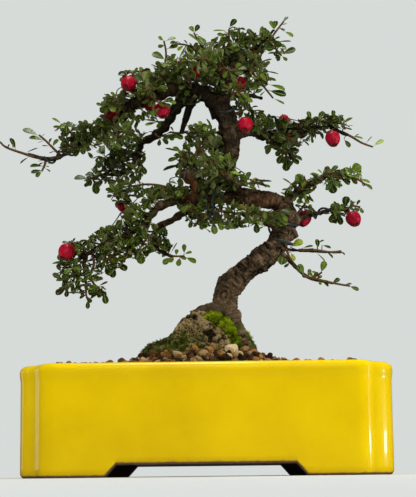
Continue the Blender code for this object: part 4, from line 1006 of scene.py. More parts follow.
def makeTrunk():
    # the trunk, the roots and the collars of the branches under one skin, with the bark's relief on it
    routes = [smoothTable(table, bark["ring"]) for table in [trunkRoute, knotRoute] + rootRoutes]
    collars = []
    for points, first, last, _ in branches.values():
        route, radii = smoothRoute(points, bark["ring"], np.linspace(first, last, len(points)))
        reach = runLength(route)
        kept = reach < min(bark["collar"], reach[-1] * 0.6)
        flare = 1 + 0.55 * np.exp(-reach[kept] / 3.0) - 0.45 * smoothStep(reach[kept], 4.0, bark["collar"])
        collars.append((route[kept], radii[kept] * flare))
    tubes = [tube(route, radii, 26) for route, radii in routes + collars]
    points, normals, quads = remeshed(*joinShapes(tubes), bark["voxel"], 5)
    along, around, size = nearestAlong(points, routes + collars)
    lumps, fine = barkRelief(points, around, along)
    knot = np.linalg.norm(points - atView([trunkKnot["place"]], [trunkKnot["depth"]]), axis=1)
    eye = np.exp(-(knot / trunkKnot["reach"]) ** 2)
    fine = fine * (1 - eye) - 0.75 * np.cos(knot * 3.2) * eye
    scale = np.clip(size / 4.5, 0.25, 1.15)
    swell = 0.35 * np.sin(3 * around / size + along * 0.11) * (size > 2.5)
    above = smoothStep(points[:, 2], 41, 45)
    points = points + normals * ((lumps * scale + swell + fine * np.sqrt(scale)) * above)[:, None]
    relief = np.clip(0.51 + 1.3 * fine + 0.24 * lumps, 0, 1)
    torn = bell(points, *bark["torn"]) + 0.22 * bell(points, (26, 0, 118), (9.0, 9.0, 5.0))
    low = smoothStep(-points[:, 2], -72, -58)
    mossy = low * smoothStep(noise(points, 4.0, 36), -0.1, 0.5)
    x, _, z = points.T
    # painted shade: dark rises from 118 mm up under the foliage, eases at the crown's top, and covers the left
    # foot
    dark = 0.45 * smoothStep(z, 118, 132) + 0.30 * smoothStep(z, 148, 158) - 0.35 * smoothStep(z, 163, 171)
    dark = np.clip(dark + 0.6 * smoothStep(-x, -7, -3) * smoothStep(-z, -74, -70), 0, 1)
    worn = 0.4 * np.exp(-((z - 70) / 7) ** 2) + 0.15 * np.exp(-((x - 29) / 8) ** 2 - ((z - 118) / 6) ** 2)
    marks = {"relief": relief, "torn": torn, "mossy": mossy, "along": along, "around": around, "dark": dark,
             "worn": worn}
    putPiece("trunkWood", points, [quads], ["bark"], "bark", ["trunk"], marks=marks)


deadStub = [((-4.6,-3,117), 2.4), ((-4.3,-6.5,119.8), 1.6), ((-4.2,-8.5,122.4), 1.4),
            ((-4.8,-9.3,124.2), 2.0), ((-5.4,-9.5,125.4), 3.7), ((-5.6,-9.5,127.0), 4.5),
            ((-5.4,-9.2,128.9), 3.7), ((-5.2,-9,130), 1.6)]


def makeStub():
    # a broken stub: a thin torn stalk with a worn, knobbly head, ringed roughly by noise
    route, radii = smoothTable(deadStub, 0.4)
    sides = 22
    ring, _ = tube(route, radii, sides)
    lumps = 0.45 * noise(ring[:-2], 1.6, 121) + 0.3 * noise(ring[:-2], 0.8, 122)
    splits = np.tile(np.abs(np.sin(2.5 * turnsOf(sides))), len(route))
    reach = np.repeat(radii, sides) * (0.78 + 0.3 * splits + 0.16 * noise(ring[:-2], 2.4, 120)) + lumps * 0.6
    points, faces = tube(route, reach.reshape(len(route), sides), sides)
    head = np.append(smoothStep(ring[:-2, 2], 123.4, 125.4), [0, 1])
    # the head's mark dark is painted shade, like the trunk's at that height
    marks = {"relief": np.append(np.clip(0.5 + 0.8 * lumps, 0, 1), [0.5, 0.5]), "torn": 0.8 - 0.8 * head,
             "worn": head * 0.2, "mossy": np.zeros(len(points)), "dark": head * 0.3,
             "along": np.append(np.repeat(runLength(route), sides), [0, 14]),
             "around": np.append(np.tile(np.arange(sides) * 0.9, len(route)), [0, 0])}
    putPiece("deadStub", points, faces, ["bark"], "bark", marks=marks)


def makeBranches():
    # each branch is a tube with a knobbly, cracked surface; it starts inside the trunk's skin
    shapes, relief, torn, lengthwise, roundwise = [], [], [], [], []
    for seed, (points, first, last, _) in enumerate(branches.values()):
        route, radii = smoothRoute(points, 0.55, np.linspace(first, last, len(points)))
        route = route + 0.22 * np.stack([noise(route, 7.0, 60 + seed + axis) for axis in range(3)], -1)
        sides = 16 if first > 1.5 else 12
        ring, _ = tube(route, radii, sides)
        surface = ring[:-2]
        along = np.repeat(runLength(route), sides)
        turn = np.tile(turnsOf(sides), len(route))
        girth = np.repeat(radii, sides)
        lumps, fine = barkRelief(surface, turn * girth, along)
        knobs = 0.16 * np.sin(along * 1.25 + seed) * (noise(surface, 5.0, 90 + seed) > -0.1)
        reach = girth * (1 + 0.20 * lumps + knobs) + 0.42 * fine * np.clip(girth / 2.2, 0.25, 1)
        shapes.append(tube(route, reach.reshape(len(route), sides), sides))
        relief.append(np.append(np.clip(0.5 + 1.2 * fine + 0.3 * lumps, 0, 1), [0.5, 0.5]))
        torn.append(np.append(bell(surface, *bark["torn"]), [0, 0]))
        lengthwise.append(np.append(along, [0, along[-1]]) + 40 * seed)
        roundwise.append(np.append(turn * girth, [0, 0]))
    points, faces = joinShapes(shapes)
    # the mark dark paints shade on every branch, deeper from 138 mm up under the crown's foliage
    marks = {"relief": np.concatenate(relief), "torn": np.concatenate(torn), "mossy": np.zeros(len(points)),
             "along": np.concatenate(lengthwise), "around": np.concatenate(roundwise),
             "dark": 0.42 + 0.42 * smoothStep(points[:, 2], 138, 152)}
    putPiece("branchWood", points, faces, ["bark"], "bark", marks=marks)


makeTrunk()
makeBranches()
makeStub()
print("trunk, roots and branches made")


# Moss

moss = {"spikes": 5, "length": (0.5, 1.25), "width": (0.11, 0.19), "spread": 0.5, "voxel": 0.42, "soften": 3,
        "rockTufts": 600}


def makeTufts(name, feet, ways, draw, tint):
    # each tuft is a few pointed spikes that lean out from one foot; a spike is a closed three-sided pyramid
    spikes = moss["spikes"]
    count = len(feet) * spikes
    foot = np.repeat(feet, spikes, axis=0) + draw.normal(scale=0.16, size=(count, 3))
    way = unit(np.repeat(ways, spikes, axis=0) + draw.normal(scale=moss["spread"], size=(count, 3)))
    first = unit(np.cross(way, (0.3, 0.5, 0.8)))
    second = np.cross(way, first)
    length = draw.uniform(*moss["length"], (count, 1))
    width = draw.uniform(*moss["width"], (count, 1))
    base = foot - way * 0.25
    points = np.stack([base + first * width, base - first * width * 0.5 + second * width * 0.87,
                       base - first * width * 0.5 - second * width * 0.87, base + way * (length + 0.25)], 1)
    faces = np.array([(0, 2, 1), (0, 1, 3), (1, 2, 3), (2, 0, 3)])
    allFaces = (faces[None] + (np.arange(count) * 4)[:, None, None]).reshape(-1, 3)
    shade = np.repeat(np.clip(np.repeat(tint, spikes) + draw.normal(scale=0.1, size=count), 0, 1), 4)
    shade[3::4] = np.clip(shade[3::4] + 0.15, 0, 1)
    putPiece(name, points.reshape(-1, 3), [allFaces], ["moss"], "moss_green", marks={"tint": shade},
             sharp=20)


def makeMoss(node, name, tufts, seed, middle, squash, shift, mound=None):
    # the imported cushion, pressed flat on what it grows on, under a skin of rounded bumps set with tufts
    draw = np.random.default_rng(seed)
    points, faces = nodeShape(node)
    points = middle + (points - middle) * squash + shift
    if mound:
        points, faces = joinShapes([(points, faces), tube(*smoothTable(mound, 0.8), 16)])
    points, normals, quads = remeshed(points, faces, moss["voxel"], moss["soften"])
    bump = 0.8 * np.abs(noise(points, 2.2, seed)) + 0.4 * noise(points, 1.1, seed + 1)
    points = points + normals * bump[:, None]
    tint = np.clip(0.05 + 0.75 * bump + 0.25 * noise(points, 5.0, seed + 2), 0, 0.7)
    putPiece(name, points, [quads], ["moss"], "moss_green", [node], marks={"tint": tint})
    shown = np.flatnonzero(normals[:, 2] > -0.35)
    chosen = draw.choice(shown, tufts, replace=len(shown) < tufts)
    lit = smoothStep(points[chosen, 2], 50, 64) * 0.25
    makeTufts(name + "Tufts", points[chosen], normals[chosen], draw, np.clip(tint[chosen] + 0.12 + lit, 0, 1))


# the tufts, then about which place the cushion is pressed, by how much, how far it is moved, and what is added
makeMoss("moss_cushion", "mossCushion", 2600, 71, (8, -9, 50), (0.84, 0.72, 0.86), (-2.0, 0.2, 0.2),
         [((-0.5, -9.5, 63.6), 1.5), ((3, -10.2, 62.6), 2.6), ((6.5, -10, 61.5), 3.2), ((9, -11, 58), 3.0),
          ((11, -13, 53), 2.8), ((12, -15, 49.5), 2.2)])
makeMoss("moss_flank", "mossFlank", 900, 75, (20, 0, 55), (0.8, 0.9, 0.95), (-3.2, -0.6, -0.6))
rockPoints, rockNormals, rockMossy = rockSurface
mossDraw = np.random.default_rng(79)
damp = np.flatnonzero((rockMossy > 0.55) & (rockPoints[:, 2] > 46) & (rockNormals[:, 2] > 0.0))
dampPick = mossDraw.choice(damp, moss["rockTufts"])
makeTufts("rockMoss", rockPoints[dampPick], rockNormals[dampPick], mossDraw,
          mossDraw.uniform(0.0, 0.45, len(dampPick)))
print("moss made")


# Places of the berries, leaves and twigs

berry = {"radius": 3.5, "sides": 28, "stalk": 0.42, "sepals": 5, "sepal": (1.3, 0.5, 0.2, -0.1)}
berries = {
    "berry_crown_left": ((-32.6,-18,166.4), (-0.2,-0.7,-0.7)),
    "berry_high_left": ((-40.2,-14,154.4), (-0.3,-0.4,-0.9)),
    "berry_high_inner": ((-18,-14,155.6), (0.1,-0.3,-0.9)),
    "berry_crown_middle": ((18,-12,149), (-0.1,-0.6,-0.8)),
    "berry_crown_front": ((16,-7,170), (0.2,-0.5,-0.8)),
    "berry_crown_back": ((9,18,172), (0.1,0.6,-0.8)),
    "berry_right_high": ((58,5,148), (0.1,-0.3,-0.9)),
    "berry_right_inner": ((44,9,112), (-0.3,-0.2,-0.9)),
    "berry_right_low": ((66,7,111), (0.3,-0.5,-0.8)),
    "berry_low_left": ((-57.4,-22,91), (-0.3,-0.5,-0.8)),
    "berry_back_low": ((33,24,115), (0.0,0.5,-0.9)),
}
smallBerries = [((195, 73), -6, 0.72), ((206, 58), -3, 0.6), ((284, 120), 9, 0.7), ((150, 106), -8, 0.8),
                ((122, 206), -6, 0.7), ((290, 140), 9, 0.7)]     # pixel, depth, size
shownBerries = ("berry_crown_left", "berry_crown_middle", "berry_right_high", "berry_right_low", "berry_low_left")

# outlines of the foliage masses in the front view, in its pixels; leaves that would stick out are left off
pads = {
    "high": [(53,133), (60,123), (72,121), (98,121), (103,112), (99,105), (107,95), (118,90), (118,80),
        (122,72), (135,67), (148,69), (157,77), (162,90), (152,104), (162,111), (158,119), (143,120), (136,125),
        (140,133), (150,130), (148,138), (138,148), (147,151), (146,158), (136,158), (130,148), (124,146),
        (112,152), (104,149), (86,152), (68,156), (60,149), (62,138)],
    "inner": [(92,158), (100,156), (112,152), (120,146), (132,148), (138,152), (138,164), (146,168), (146,174),
        (138,179), (128,184), (118,187), (106,184), (98,190), (90,186), (84,184), (86,176), (95,167)],
    "low": [(57,262), (61,243), (72,239), (86,240), (92,232), (108,226), (121,220), (120,206), (110,199),
        (107,192), (120,188), (138,184), (150,187), (176,184), (186,192), (206,192), (205,207), (180,203),
        (160,207), (152,216), (152,232), (148,252), (143,264), (134,258), (124,262), (114,275), (106,272),
        (101,278), (107,284), (106,300), (96,296), (88,304), (82,299), (64,296), (55,292), (60,282), (55,277)],
    "under": [(152,228), (165,227), (167,237), (175,243), (172,250), (160,253), (147,250), (146,240)],
    "middle": [(186,126), (196,121), (206,125), (218,130), (225,140), (232,150), (235,160), (237,170),
        (256,178), (270,181), (268,188), (250,190), (236,190), (234,196), (262,200), (262,210), (290,210),
        (290,222), (280,227), (266,226), (256,231), (240,226), (226,229), (214,231), (202,229), (190,226),
        (183,214), (176,204), (178,186), (174,176), (180,168), (172,158), (180,150), (184,140)],
    "crown": [(154,90), (153,72), (154,63), (166,60), (172,54), (182,58), (187,44), (196,44), (206,48),
        (212,38), (222,34), (228,30), (240,26), (256,29), (264,27), (272,34), (284,44), (288,50), (286,60),
        (276,60), (270,50), (258,54), (262,60), (269,61), (266,70), (272,79), (271,87), (258,87), (249,91),
        (251,102), (236,100), (220,97), (208,94), (200,105), (194,109), (188,103), (180,110), (176,104),
        (180,96), (166,90)],
    "rightHigh": [(236,110), (240,102), (248,102), (258,108), (264,114), (276,114), (290,119), (305,121),
        (309,112), (318,118), (324,112), (334,111), (344,118), (351,118), (350,129), (343,131), (330,130),
        (326,139), (316,143), (305,145), (298,144), (300,150), (300,160), (288,166), (279,161), (277,150),
        (266,150), (266,140), (252,136), (250,130), (238,130), (234,118)],
    "rightMiddle": [(284,196), (284,184), (292,184), (298,174), (304,175), (306,182), (311,175), (320,170),
        (328,167), (336,169), (350,168), (360,166), (362,176), (369,187), (350,184), (338,185), (332,190),
        (322,184), (313,190), (311,200), (298,202)],
    "rightLow": [(300,206), (310,206), (314,212), (328,208), (332,203), (341,204), (350,201), (360,202),
        (362,211), (346,213), (341,222), (332,222), (330,214), (312,216)],
}

# wood that is seen bare: its depth, and the outline in which no leaf lies in front of it
bareWood = [
    (-10, [(122,102), (145,95), (168,91), (190,89), (206,94), (204,103), (188,100), (170,102), (150,106),
        (135,112), (122,112)]),
    (10, [(183,104), (176,120), (165,131), (152,139), (145,141), (143,136), (152,128), (163,118), (172,106)]),
    (10, [(184,108), (193,108), (191,122), (188,134), (182,132), (183,120)]),
    (-1, [(150,203), (160,200), (184,196), (204,199), (196,206), (178,203), (165,207), (153,213)]),
    (2, [(236,191), (262,190), (284,197), (284,206), (262,208), (240,205)]),
    (-5, [(180,171), (186,168), (194,168), (198,174), (197,182), (194,187), (195,198), (187,198), (187,187),
        (180,184)]),
    (-3, [(216,60), (238,57), (241,67), (231,71), (227,81), (218,81)]),
    (0, [(213,104), (235,104), (240,118), (241,140), (240,152), (232,158), (228,146), (222,136), (219,120)]),
]

# each leafy twig in the masses: its points in millimetres from the wood outwards, under its node's name
sprays = {
    "spray_crown_outer": [(-3,-8,181), (-8,-13,178), (-14,-16,178)],
    "spray_crown_inner": [(8,0,171), (1,5,176), (-7,9,179), (-15,11,178)],
    "spray_crown_front": [(4,-18,175), (2,-25,174), (-3,-31,172)],
    "spray_crown_right": [(16,1,186), (22,6,186), (29,10,186), (36,12,184)],
    "spray_crown_back": [(4,18,187), (1,25,189), (-5,31,188)],
    "spray_high_upper": [(-11,-4,169), (-17,-8,173), (-24,-10,175), (-31,-12,175)],
    "spray_high_front": [(-18,-6,167), (-22,-17,165), (-25,-26,160)],
    "spray_high_middle": [(-34,-9,159), (-41,-14,161), (-48,-17,158)],
    "spray_high_under": [(-40,-10,154), (-42,-15,147), (-36,-18,142)],
    "spray_inner_left": [(-31,14,146), (-38,18,147), (-46,21,145)],
    "spray_stub": [(-9,9,154), (-3,11,150), (2,11,149)],
    "spray_middle_left": [(-2,-6,127), (-8,-9,131), (-15,-11,134)],
    "spray_middle_top": [(-5,-8,134), (-2,-9,141), (3,-8,145)],
    "spray_middle_front": [(8,-17,125), (4,-24,128), (0,-30,127)],
    "spray_middle_right": [(13,1,130), (19,-6,131), (24,-10,128)],
    "spray_low_upper": [(-8,-6,118), (-16,-9,122), (-24,-11,123), (-31,-12,122)],
    "spray_low_middle": [(-25,-11,108), (-33,-14,110), (-41,-16,107)],
    "spray_low_under": [(-33,-13,100), (-32,-16,92), (-36,-18,85)],
    "spray_under_bend": [(5,-1,118), (1,-5,111), (-5,-7,105)],
    "spray_right_high": [(33,9,152), (39,11,160), (46,12,162)],
}

# twigs whose leaves are seen one by one: the depths of their two ends in millimetres, then in pixels of the
# front view their points and each leaf's foot and tip, with how far it faces the viewer where that isn't 0.55
seenTwigs = {
    "spray_crown_top": (0, -2, [(233,60), (230,48), (229,38), (229,29)], [
         (229,28,236,19,.8), (228,31,213,30,.4), (230,31,242,29), (230,36,240,34), (228,37,217,34),
        (228,42,219,44), (231,44,241,42), (229,34,222,38)]),
    "spray_crown_left": (-6, -11, [(214,66), (207,54), (199,42), (194,33)], [
         (194,33,190,26,.9), (194,33,199,25,.9), (197,34,204,45), (199,42,188,34,.3), (203,48,210,44),
        (205,50,197,50), (207,54,213,52)]),
    "crownArmTwig": (-5, -8, [(205,60), (196,50), (186,45), (178,44)], [
         (180,44,170,43,.6), (184,45,178,51,.7), (188,45,184,40,.5), (192,48,198,43,.7), (186,46,190,53,.7),
        (195,50,189,43), (182,44,176,41,.4)]),
    "spray_tall_twig": (-4, -8, [(169,92), (168,80), (166,66), (166,52), (164,41)], [
         (164,41,158,37,.7), (165,41,176,38), (165,45,158,47,.9), (167,49,178,45,.7), (166,60,152,53,.7),
        (167,62,175,56,.7), (167,66,160,63), (168,70,175,64,.7), (168,76,161,74)]),
    "crownForkTwig": (-8, -11, [(191,83), (185,74), (179,66), (174,60)], [
         (175,61,168,57,.7), (178,65,172,68,.7), (181,69,189,61,.8), (180,66,183,59), (184,73,191,70),
        (177,62,188,45,.3), (176,62,178,57)]),
    "spray_crown_tip": (-5, -9, [(256,54), (264,46), (271,38), (277,30), (284,21)], [
         (283,22,288,17), (281,25,287,24,.7), (274,30,270,21,.8), (274,30,276,21,.8), (284,31,293,37),
        (279,28,285,30,.4), (272,36,266,32), (270,36,262,28), (268,40,260,37), (265,43,256,42), (273,40,280,37),
        (275,42,291,41,.3), (262,47,258,38)]),
    "crownTipTwig": (-6, -10, [(268,42), (274,47), (281,55)], [
         (275,48,283,45), (281,54,296,50,.7), (281,55,277,61,.9), (282,56,287,61,.9), (274,49,261,50,.4),
        (276,50,275,56,.7), (280,52,286,47), (271,44,277,41)]),
    "spray_crown_side": (-9, -13, [(250,70), (258,79), (265,88), (273,98)], [
         (262,87,249,89,.7), (264,88,256,93), (268,84,285,91), (268,90,286,96), (273,98,284,104,.1),
        (262,71,279,73,.4), (264,76,276,81), (262,70,268,72,.8), (260,80,252,76), (266,90,261,96,.4),
        (259,62,272,60,.4), (257,76,263,80)]),
    "crownLowTwig": (-12, -14, [(228,90), (236,93), (243,95)], [
         (240,93,252,103), (240,92,248,98), (238,94,243,102), (236,92,240,97,.7), (234,94,231,101),
        (232,93,238,86,.8), (230,90,231,83,.8), (234,92,245,90)]),
    "highBerryTwig": (-16, -17, [(142,92), (136,80), (132,73)], [
         (132,73,118,75), (131,72,124,70,.3), (133,73,138,68,.8), (134,74,130,70), (136,76,142,79),
        (138,84,144,88), (137,80,146,76)]),
    "crownBerryTwig": (-13, -14, [(224,68), (232,71), (238,70)], [
         (232,71,243,74,.8), (235,70,247,69), (230,72,235,81,.8), (228,70,224,78), (236,70,240,63)]),
    "highLeafTwig": (-22, -21, [(116,98), (110,103), (106,107)], [
         (108,104,115,112,.8), (107,105,106,114,.7), (111,102,119,107,.8), (108,104,101,108)]),
    "highCoverTwig": (-19, -19, [(150,96), (156,101), (161,103)], [
         (156,101,165,106,.8), (153,99,150,107,.8), (160,103,168,101), (150,98,143,104), (162,102,173,99,.7),
        (163,103,171,107,.8), (166,100,176,103,.6)]),
    "highEdgeTwig": (-14, -18, [(118,100), (110,104), (104,106)], [
         (104,106,96,104,.7), (106,106,100,112), (110,103,102,98), (112,101,106,94), (114,100,104,94,.2),
        (116,98,111,92)]),
    "spray_high_along": (-12, -18, [(88,140), (77,138), (69,131), (62,124)], [
         (62,124,52,118), (64,127,53,127), (64,125,70,122), (66,128,72,124), (68,130,60,131,.4),
        (70,133,61,137), (73,136,66,139), (70,132,78,128), (75,137,82,131), (78,138,84,134), (80,139,76,144),
        (84,139,88,133)]),
    "spray_high_twig": (-13, -15, [(61,156), (53,148), (46,141), (39,135)], [
         (39,136,23,128), (44,140,29,138), (41,137,45,134,.3), (50,146,42,146,.4), (49,144,51,138,.3),
        (52,147,58,139,.3), (56,151,49,153,.4), (45,140,38,143,.4)]),
    "spray_high_tip": (-15, -16, [(34,157), (22,153), (10,149), (4,146), (0,142), (-4,140)], [
         (16,150,10,138,.3), (12,149,5,146,.3), (13,149,12,143,.3), (25,153,38,148,.3), (30,156,20,163,.4),
        (8,148,9,144,.3), (-2,141,-3,133,.5), (-4,140,-7,135,.5)]),
    "highLowTwig": (-14, -16, [(46,158), (45,164), (42,171)], [
         (44,166,30,167), (43,170,31,173), (42,171,36,177,.8), (46,164,54,163,.4), (45,168,50,172,.4),
        (46,160,38,161), (45,166,49,167), (44,162,39,165)]),
    "spray_inner_low": (16, 18, [(108,173), (98,176), (90,179)], [
         (90,179,74,178), (94,179,97,194,.8), (91,180,85,187), (92,179,89,186), (96,176,87,173),
        (97,176,95,169), (100,175,92,168), (98,177,102,184), (92,178,84,181,.4), (94,176,85,175)]),
    "spray_inner_right": (15, 18, [(140,158), (139,166), (136,174)], [
         (136,174,146,169,.9), (137,168,144,160), (136,174,139,180), (135,172,130,178), (139,160,146,154),
        (138,163,131,160), (137,172,143,176,.7)]),
    "innerPair": (9, 8, [(155,134), (160,138)], [
         (160,138,159,146,.8), (161,138,168,144,.8), (160,137,165,136)]),
    "innerUpperTwig": (9, 6, [(166,122), (158,122)], [
         (158,122,145,125), (157,122,150,118,.4), (160,121,158,128), (156,122,147,120,.3)]),
    "stubTwig": (9, 10, [(186,132), (178,133), (170,132)], [
         (172,133,183,139,.7), (168,133,162,137), (174,132,170,127), (176,133,184,134), (170,134,173,141,.8),
        (167,134,177,138), (172,134,164,140,.7)]),
    "middleLeftTwig": (-8, -12, [(192,162), (184,158)], [
         (181,157,168,161), (182,154,173,147), (181,152,165,149,.2), (184,164,163,171,.3), (184,162,176,168),
        (186,158,178,152), (182,166,177,175), (178,184,169,182)]),
    "middleTopTwig": (-8, -10, [(206,142), (207,134), (203,128)], [
         (213,131,206,119,.2), (207,134,216,129), (203,130,193,124,.7), (205,136,213,134), (204,133,196,131),
        (202,129,199,121), (207,137,198,138)]),
    "middleRightTwig": (-5, -6, [(238,186), (246,184), (256,182)], [
         (256,182,272,181,.3), (257,184,270,188,.4), (248,183,257,178,.4), (246,182,250,172,.4),
        (250,184,256,177,.3), (246,186,256,189), (252,184,262,184), (242,186,247,177)]),
    "fringeTwig": (-8, -9, [(190,210), (206,214), (222,211), (240,214), (256,211), (270,213)], [
         (202,220,202,230,.8), (213,221,215,234,.8), (220,221,222,230,.9), (228,220,233,229,.8),
        (246,221,237,227,.7), (256,221,257,233,.8), (192,218,190,228), (208,220,204,228), (236,220,243,222),
        (250,220,246,215), (260,220,266,226), (268,218,275,226), (262,218,268,212), (225,221,226,213),
        (240,219,238,212), (278,214,288,221,.7), (280,210,291,212)]),
    "lowUpperTwig": (-11, -12, [(128,202), (120,196), (114,194)], [
         (114,195,107,197,.7), (115,195,119,200,.7), (116,194,112,190), (122,198,122,190), (124,200,116,203),
        (126,201,131,194), (117,194,110,184,.6), (119,195,117,184,.6), (114,194,106,188,.6)]),
    "lowBerryTwig": (-18, -17, [(84,250), (76,244), (70,242)], [
         (70,243,62,242), (72,243,75,238), (76,245,84,240), (74,244,70,249), (80,248,88,242), (78,246,72,252)]),
    "lowFringeTwig": (-14, -15, [(146,240), (130,246), (114,254), (104,262)], [
         (141,250,141,264,.7), (144,248,147,257), (132,250,136,257), (127,250,131,258,.7), (120,253,122,263,.8),
        (116,256,114,262), (113,264,113,278,.8), (117,262,126,271), (106,263,110,276,.7), (110,258,117,262),
        (124,250,118,256), (104,262,98,268)]),
    "spray_low_hanging": (-15, -18, [(92,252), (94,264), (90,276), (96,286), (104,292)], [
         (104,291,106,304,.8), (98,286,108,282), (92,280,100,277), (93,270,102,272), (95,266,103,264),
        (92,276,84,282), (94,284,90,292), (99,288,99,298), (91,272,83,270), (90,278,97,282), (101,290,94,296)]),
    "spray_low_tip": (-15, -17, [(76,260), (73,270), (74,280), (68,288)], [
         (67,287,56,295,.7), (68,288,66,297,.7), (73,278,56,281,.4), (72,272,61,272), (74,276,82,282),
        (74,266,64,264), (75,262,52,264,.1), (73,270,81,268), (72,282,62,284), (74,281,80,290), (71,284,74,294),
        (72,268,62,268)]),
    "lowTipTwig": (-14, -16, [(84,258), (84,270), (86,282), (86,294), (88,300)], [
         (88,299,88,309,.3), (87,294,80,299), (87,292,96,296), (86,284,78,288), (86,280,94,276),
        (85,272,77,276), (85,268,93,264), (86,288,93,290), (87,296,91,303), (87,290,79,292)]),
    "spray_under_tip": (13, 12, [(156,249), (164,252), (173,256), (184,256)], [
         (172,257,163,264,.9), (180,257,178,266,.9), (184,254,184,244,.9), (184,254,192,252), (185,257,196,263),
        (174,256,170,263,.7), (178,256,186,260), (170,254,178,243,.1), (166,252,168,245), (176,256,177,249,.7),
        (168,254,162,257)]),
    "underElbowTwig": (12, 11, [(157,245), (160,236), (160,230)], [
         (160,232,166,227), (160,234,166,236), (159,240,168,241), (158,244,172,247), (158,240,152,243),
        (157,246,150,250)]),
    "spray_right_hanging": (8, 9, [(282,142), (284,150), (287,158)], [
         (287,158,286,171,.9), (289,156,298,165,.7), (290,154,302,160,.4), (284,152,278,164,.7),
        (286,150,297,149), (283,148,276,156), (287,153,294,152), (284,146,291,144), (286,156,283,164),
        (281,143,276,149)]),
    "hangingTwig": (9, 9, [(272,136), (270,144)], [
         (271,144,265,150,.8), (271,146,277,150,.7), (272,142,266,141), (273,140,279,144)]),
    "rightHighStart": (2, 6, [(240,112), (248,108), (256,113)], [
         (248,108,241,103), (250,108,258,106), (252,110,262,112), (246,109,246,101), (256,113,264,115),
        (254,112,252,118), (240,112,231,106,.7), (241,111,236,101,.7), (243,112,249,118,.7),
        (244,110,240,117)]),
    "rightHighUpper": (11, 13, [(306,126), (314,121), (330,122), (343,124)], [
         (311,120,308,111,.8), (318,120,323,112,.4), (328,118,321,111,.3), (332,118,334,110), (336,120,343,115),
        (343,124,352,117,.4), (344,126,353,125,.3), (344,128,352,130), (340,124,345,130), (322,122,314,117),
        (326,122,333,125), (334,124,341,121), (316,122,310,125)]),
    "spray_right_high_tip": (13, 13, [(344,133), (352,137), (362,143), (373,147)], [
         (373,146,384,141,.7), (352,136,363,139), (366,143,372,137,.1), (344,139,350,147,.7),
        (354,137,359,134,.3)]),
    "rightMiddleStart": (-1, -4, [(293,196), (295,189), (295,185)], [
         (296,186,300,174,.8), (295,187,283,178,.3), (294,189,282,190,.3), (297,187,304,183), (296,192,289,194),
        (290,198,281,192), (302,192,312,190,.8), (304,194,310,200), (302,196,298,204), (304,194,308,204)]),
    "spray_right_middle": (-6, -9, [(316,181), (324,176), (327,172)], [
         (327,172,328,166,.7), (324,175,317,170), (322,176,310,174), (326,174,334,170), (325,176,320,183),
        (328,176,330,184), (327,178,336,182), (330,180,334,194,.7), (323,177,316,178), (329,174,338,166),
        (318,180,309,179)]),
    "spray_right_middle_tip": (-8, -12, [(334,177), (346,176), (357,179), (365,184)], [
         (348,175,345,167), (350,175,360,164,.9), (352,176,349,168,.7), (356,178,362,172), (340,177,350,184),
        (350,177,357,184), (358,179,370,183), (362,182,372,190,.4), (342,176,336,170), (344,176,341,169),
        (336,178,334,184)]),
    "rightLowStart": (2, 6, [(298,213), (304,206), (306,200)], [
         (306,201,311,199), (305,204,298,200), (304,207,312,208), (306,210,313,213), (303,206,295,206)]),
    "spray_right_low": (11, 14, [(330,211), (344,210), (352,206), (360,207)], [
         (344,209,347,196), (345,209,341,204), (338,210,331,204), (340,210,337,203), (352,207,351,200),
        (356,206,360,200), (359,207,363,213), (354,206,358,212), (334,212,331,223), (338,212,341,225,.7),
        (336,212,345,216), (348,208,354,204)]),
    "straightTwig": (2, 8, [(300,250), (315,250), (330,252), (341,251)], [
         (290,247,303,241,.7), (302,248,313,246), (304,249,314,249,.2), (318,243,324,240), (318,249,317,239),
        (322,245,331,248), (326,251,333,258), (340,251,345,255), (316,252,325,261,.05)]),
    "hookStartTwig": (-3, -4, [(286,250), (290,258), (296,266)], [
         (291,252,294,261,.8), (288,256,284,264), (284,252,281,265), (290,262,285,268), (292,263,296,269),
        (280,255,277,262,.4)]),
    "spray_hook_tip": (-6, -10, [(303,276), (312,278), (324,281), (338,284), (350,286)], [
         (349,286,359,290), (344,285,352,284,.4), (332,283,340,279,.7), (322,281,328,287), (318,280,321,285),
        (312,278,318,272), (308,277,310,269), (304,276,299,264,.7), (302,274,297,266), (316,279,322,276),
        (314,278,308,272)]),
    "hookLeafTwig": (-7, -8, [(312,278), (318,275), (322,272)], [
         (321,273,325,261,.95), (320,274,312,272,.3)]),
}

# places in the front view where leaves are lighter or darker: pixel, reach in pixels, and what the tint tends to;
# the dark places are painted shade where the foliage lies in shadow, the others set lighter or yellow leaves
tintAndShadePlaces = [((140, 210), 9, 0.93), ((234, 87), 6, 0.86), ((182, 64), 9, 0.84), ((180, 258), 18, 0.76),
              ((357, 170), 9, 0.82), ((285, 132), 30, 0.0), ((332, 122), 18, 0.05), ((85, 138), 28, 0.2),
              ((130, 100), 12, 0.25), ((236, 45), 2.6, 1.0), ((266, 71), 3, 1.0), ((252, 46), 3, 0.97),
              ((277, 143), 3, 0.97),
              ((58, 277), 3, 0.95), ((305, 190), 8, 0.75), ((376, 144), 6, 0.9), ((95, 188), 7, 0.7),
              ((214, 195), 22, 0.55), ((210, 80), 30, 0.55), ((172, 183), 4, 0.99)]
leaf = {
    "length": (3.4, 5.6), "slimness": (0.37, 0.57), "thickness": 0.20, "fold": (0.10, 0.45),
    "droop": (-0.10, 0.35), "seenSlimness": (0.46, 0.62), "seenDroop": (-0.06, 0.08), "spacing": 1.8,
    "stations": (0.0, 0.16, 0.34, 0.56, 0.78, 0.94), "halfWidths": (0.07, 0.10, 0.55, 0.92, 1.0, 0.60),
}
twig = {"radius": (0.64, 0.42), "shootRadius": (0.32, 0.20), "shootLength": (2.6, 6.0), "shootSpacing": 2.8,
        "padStep": 6.6, "padDepth": 5.0, "padReach": (2.5, 22)}


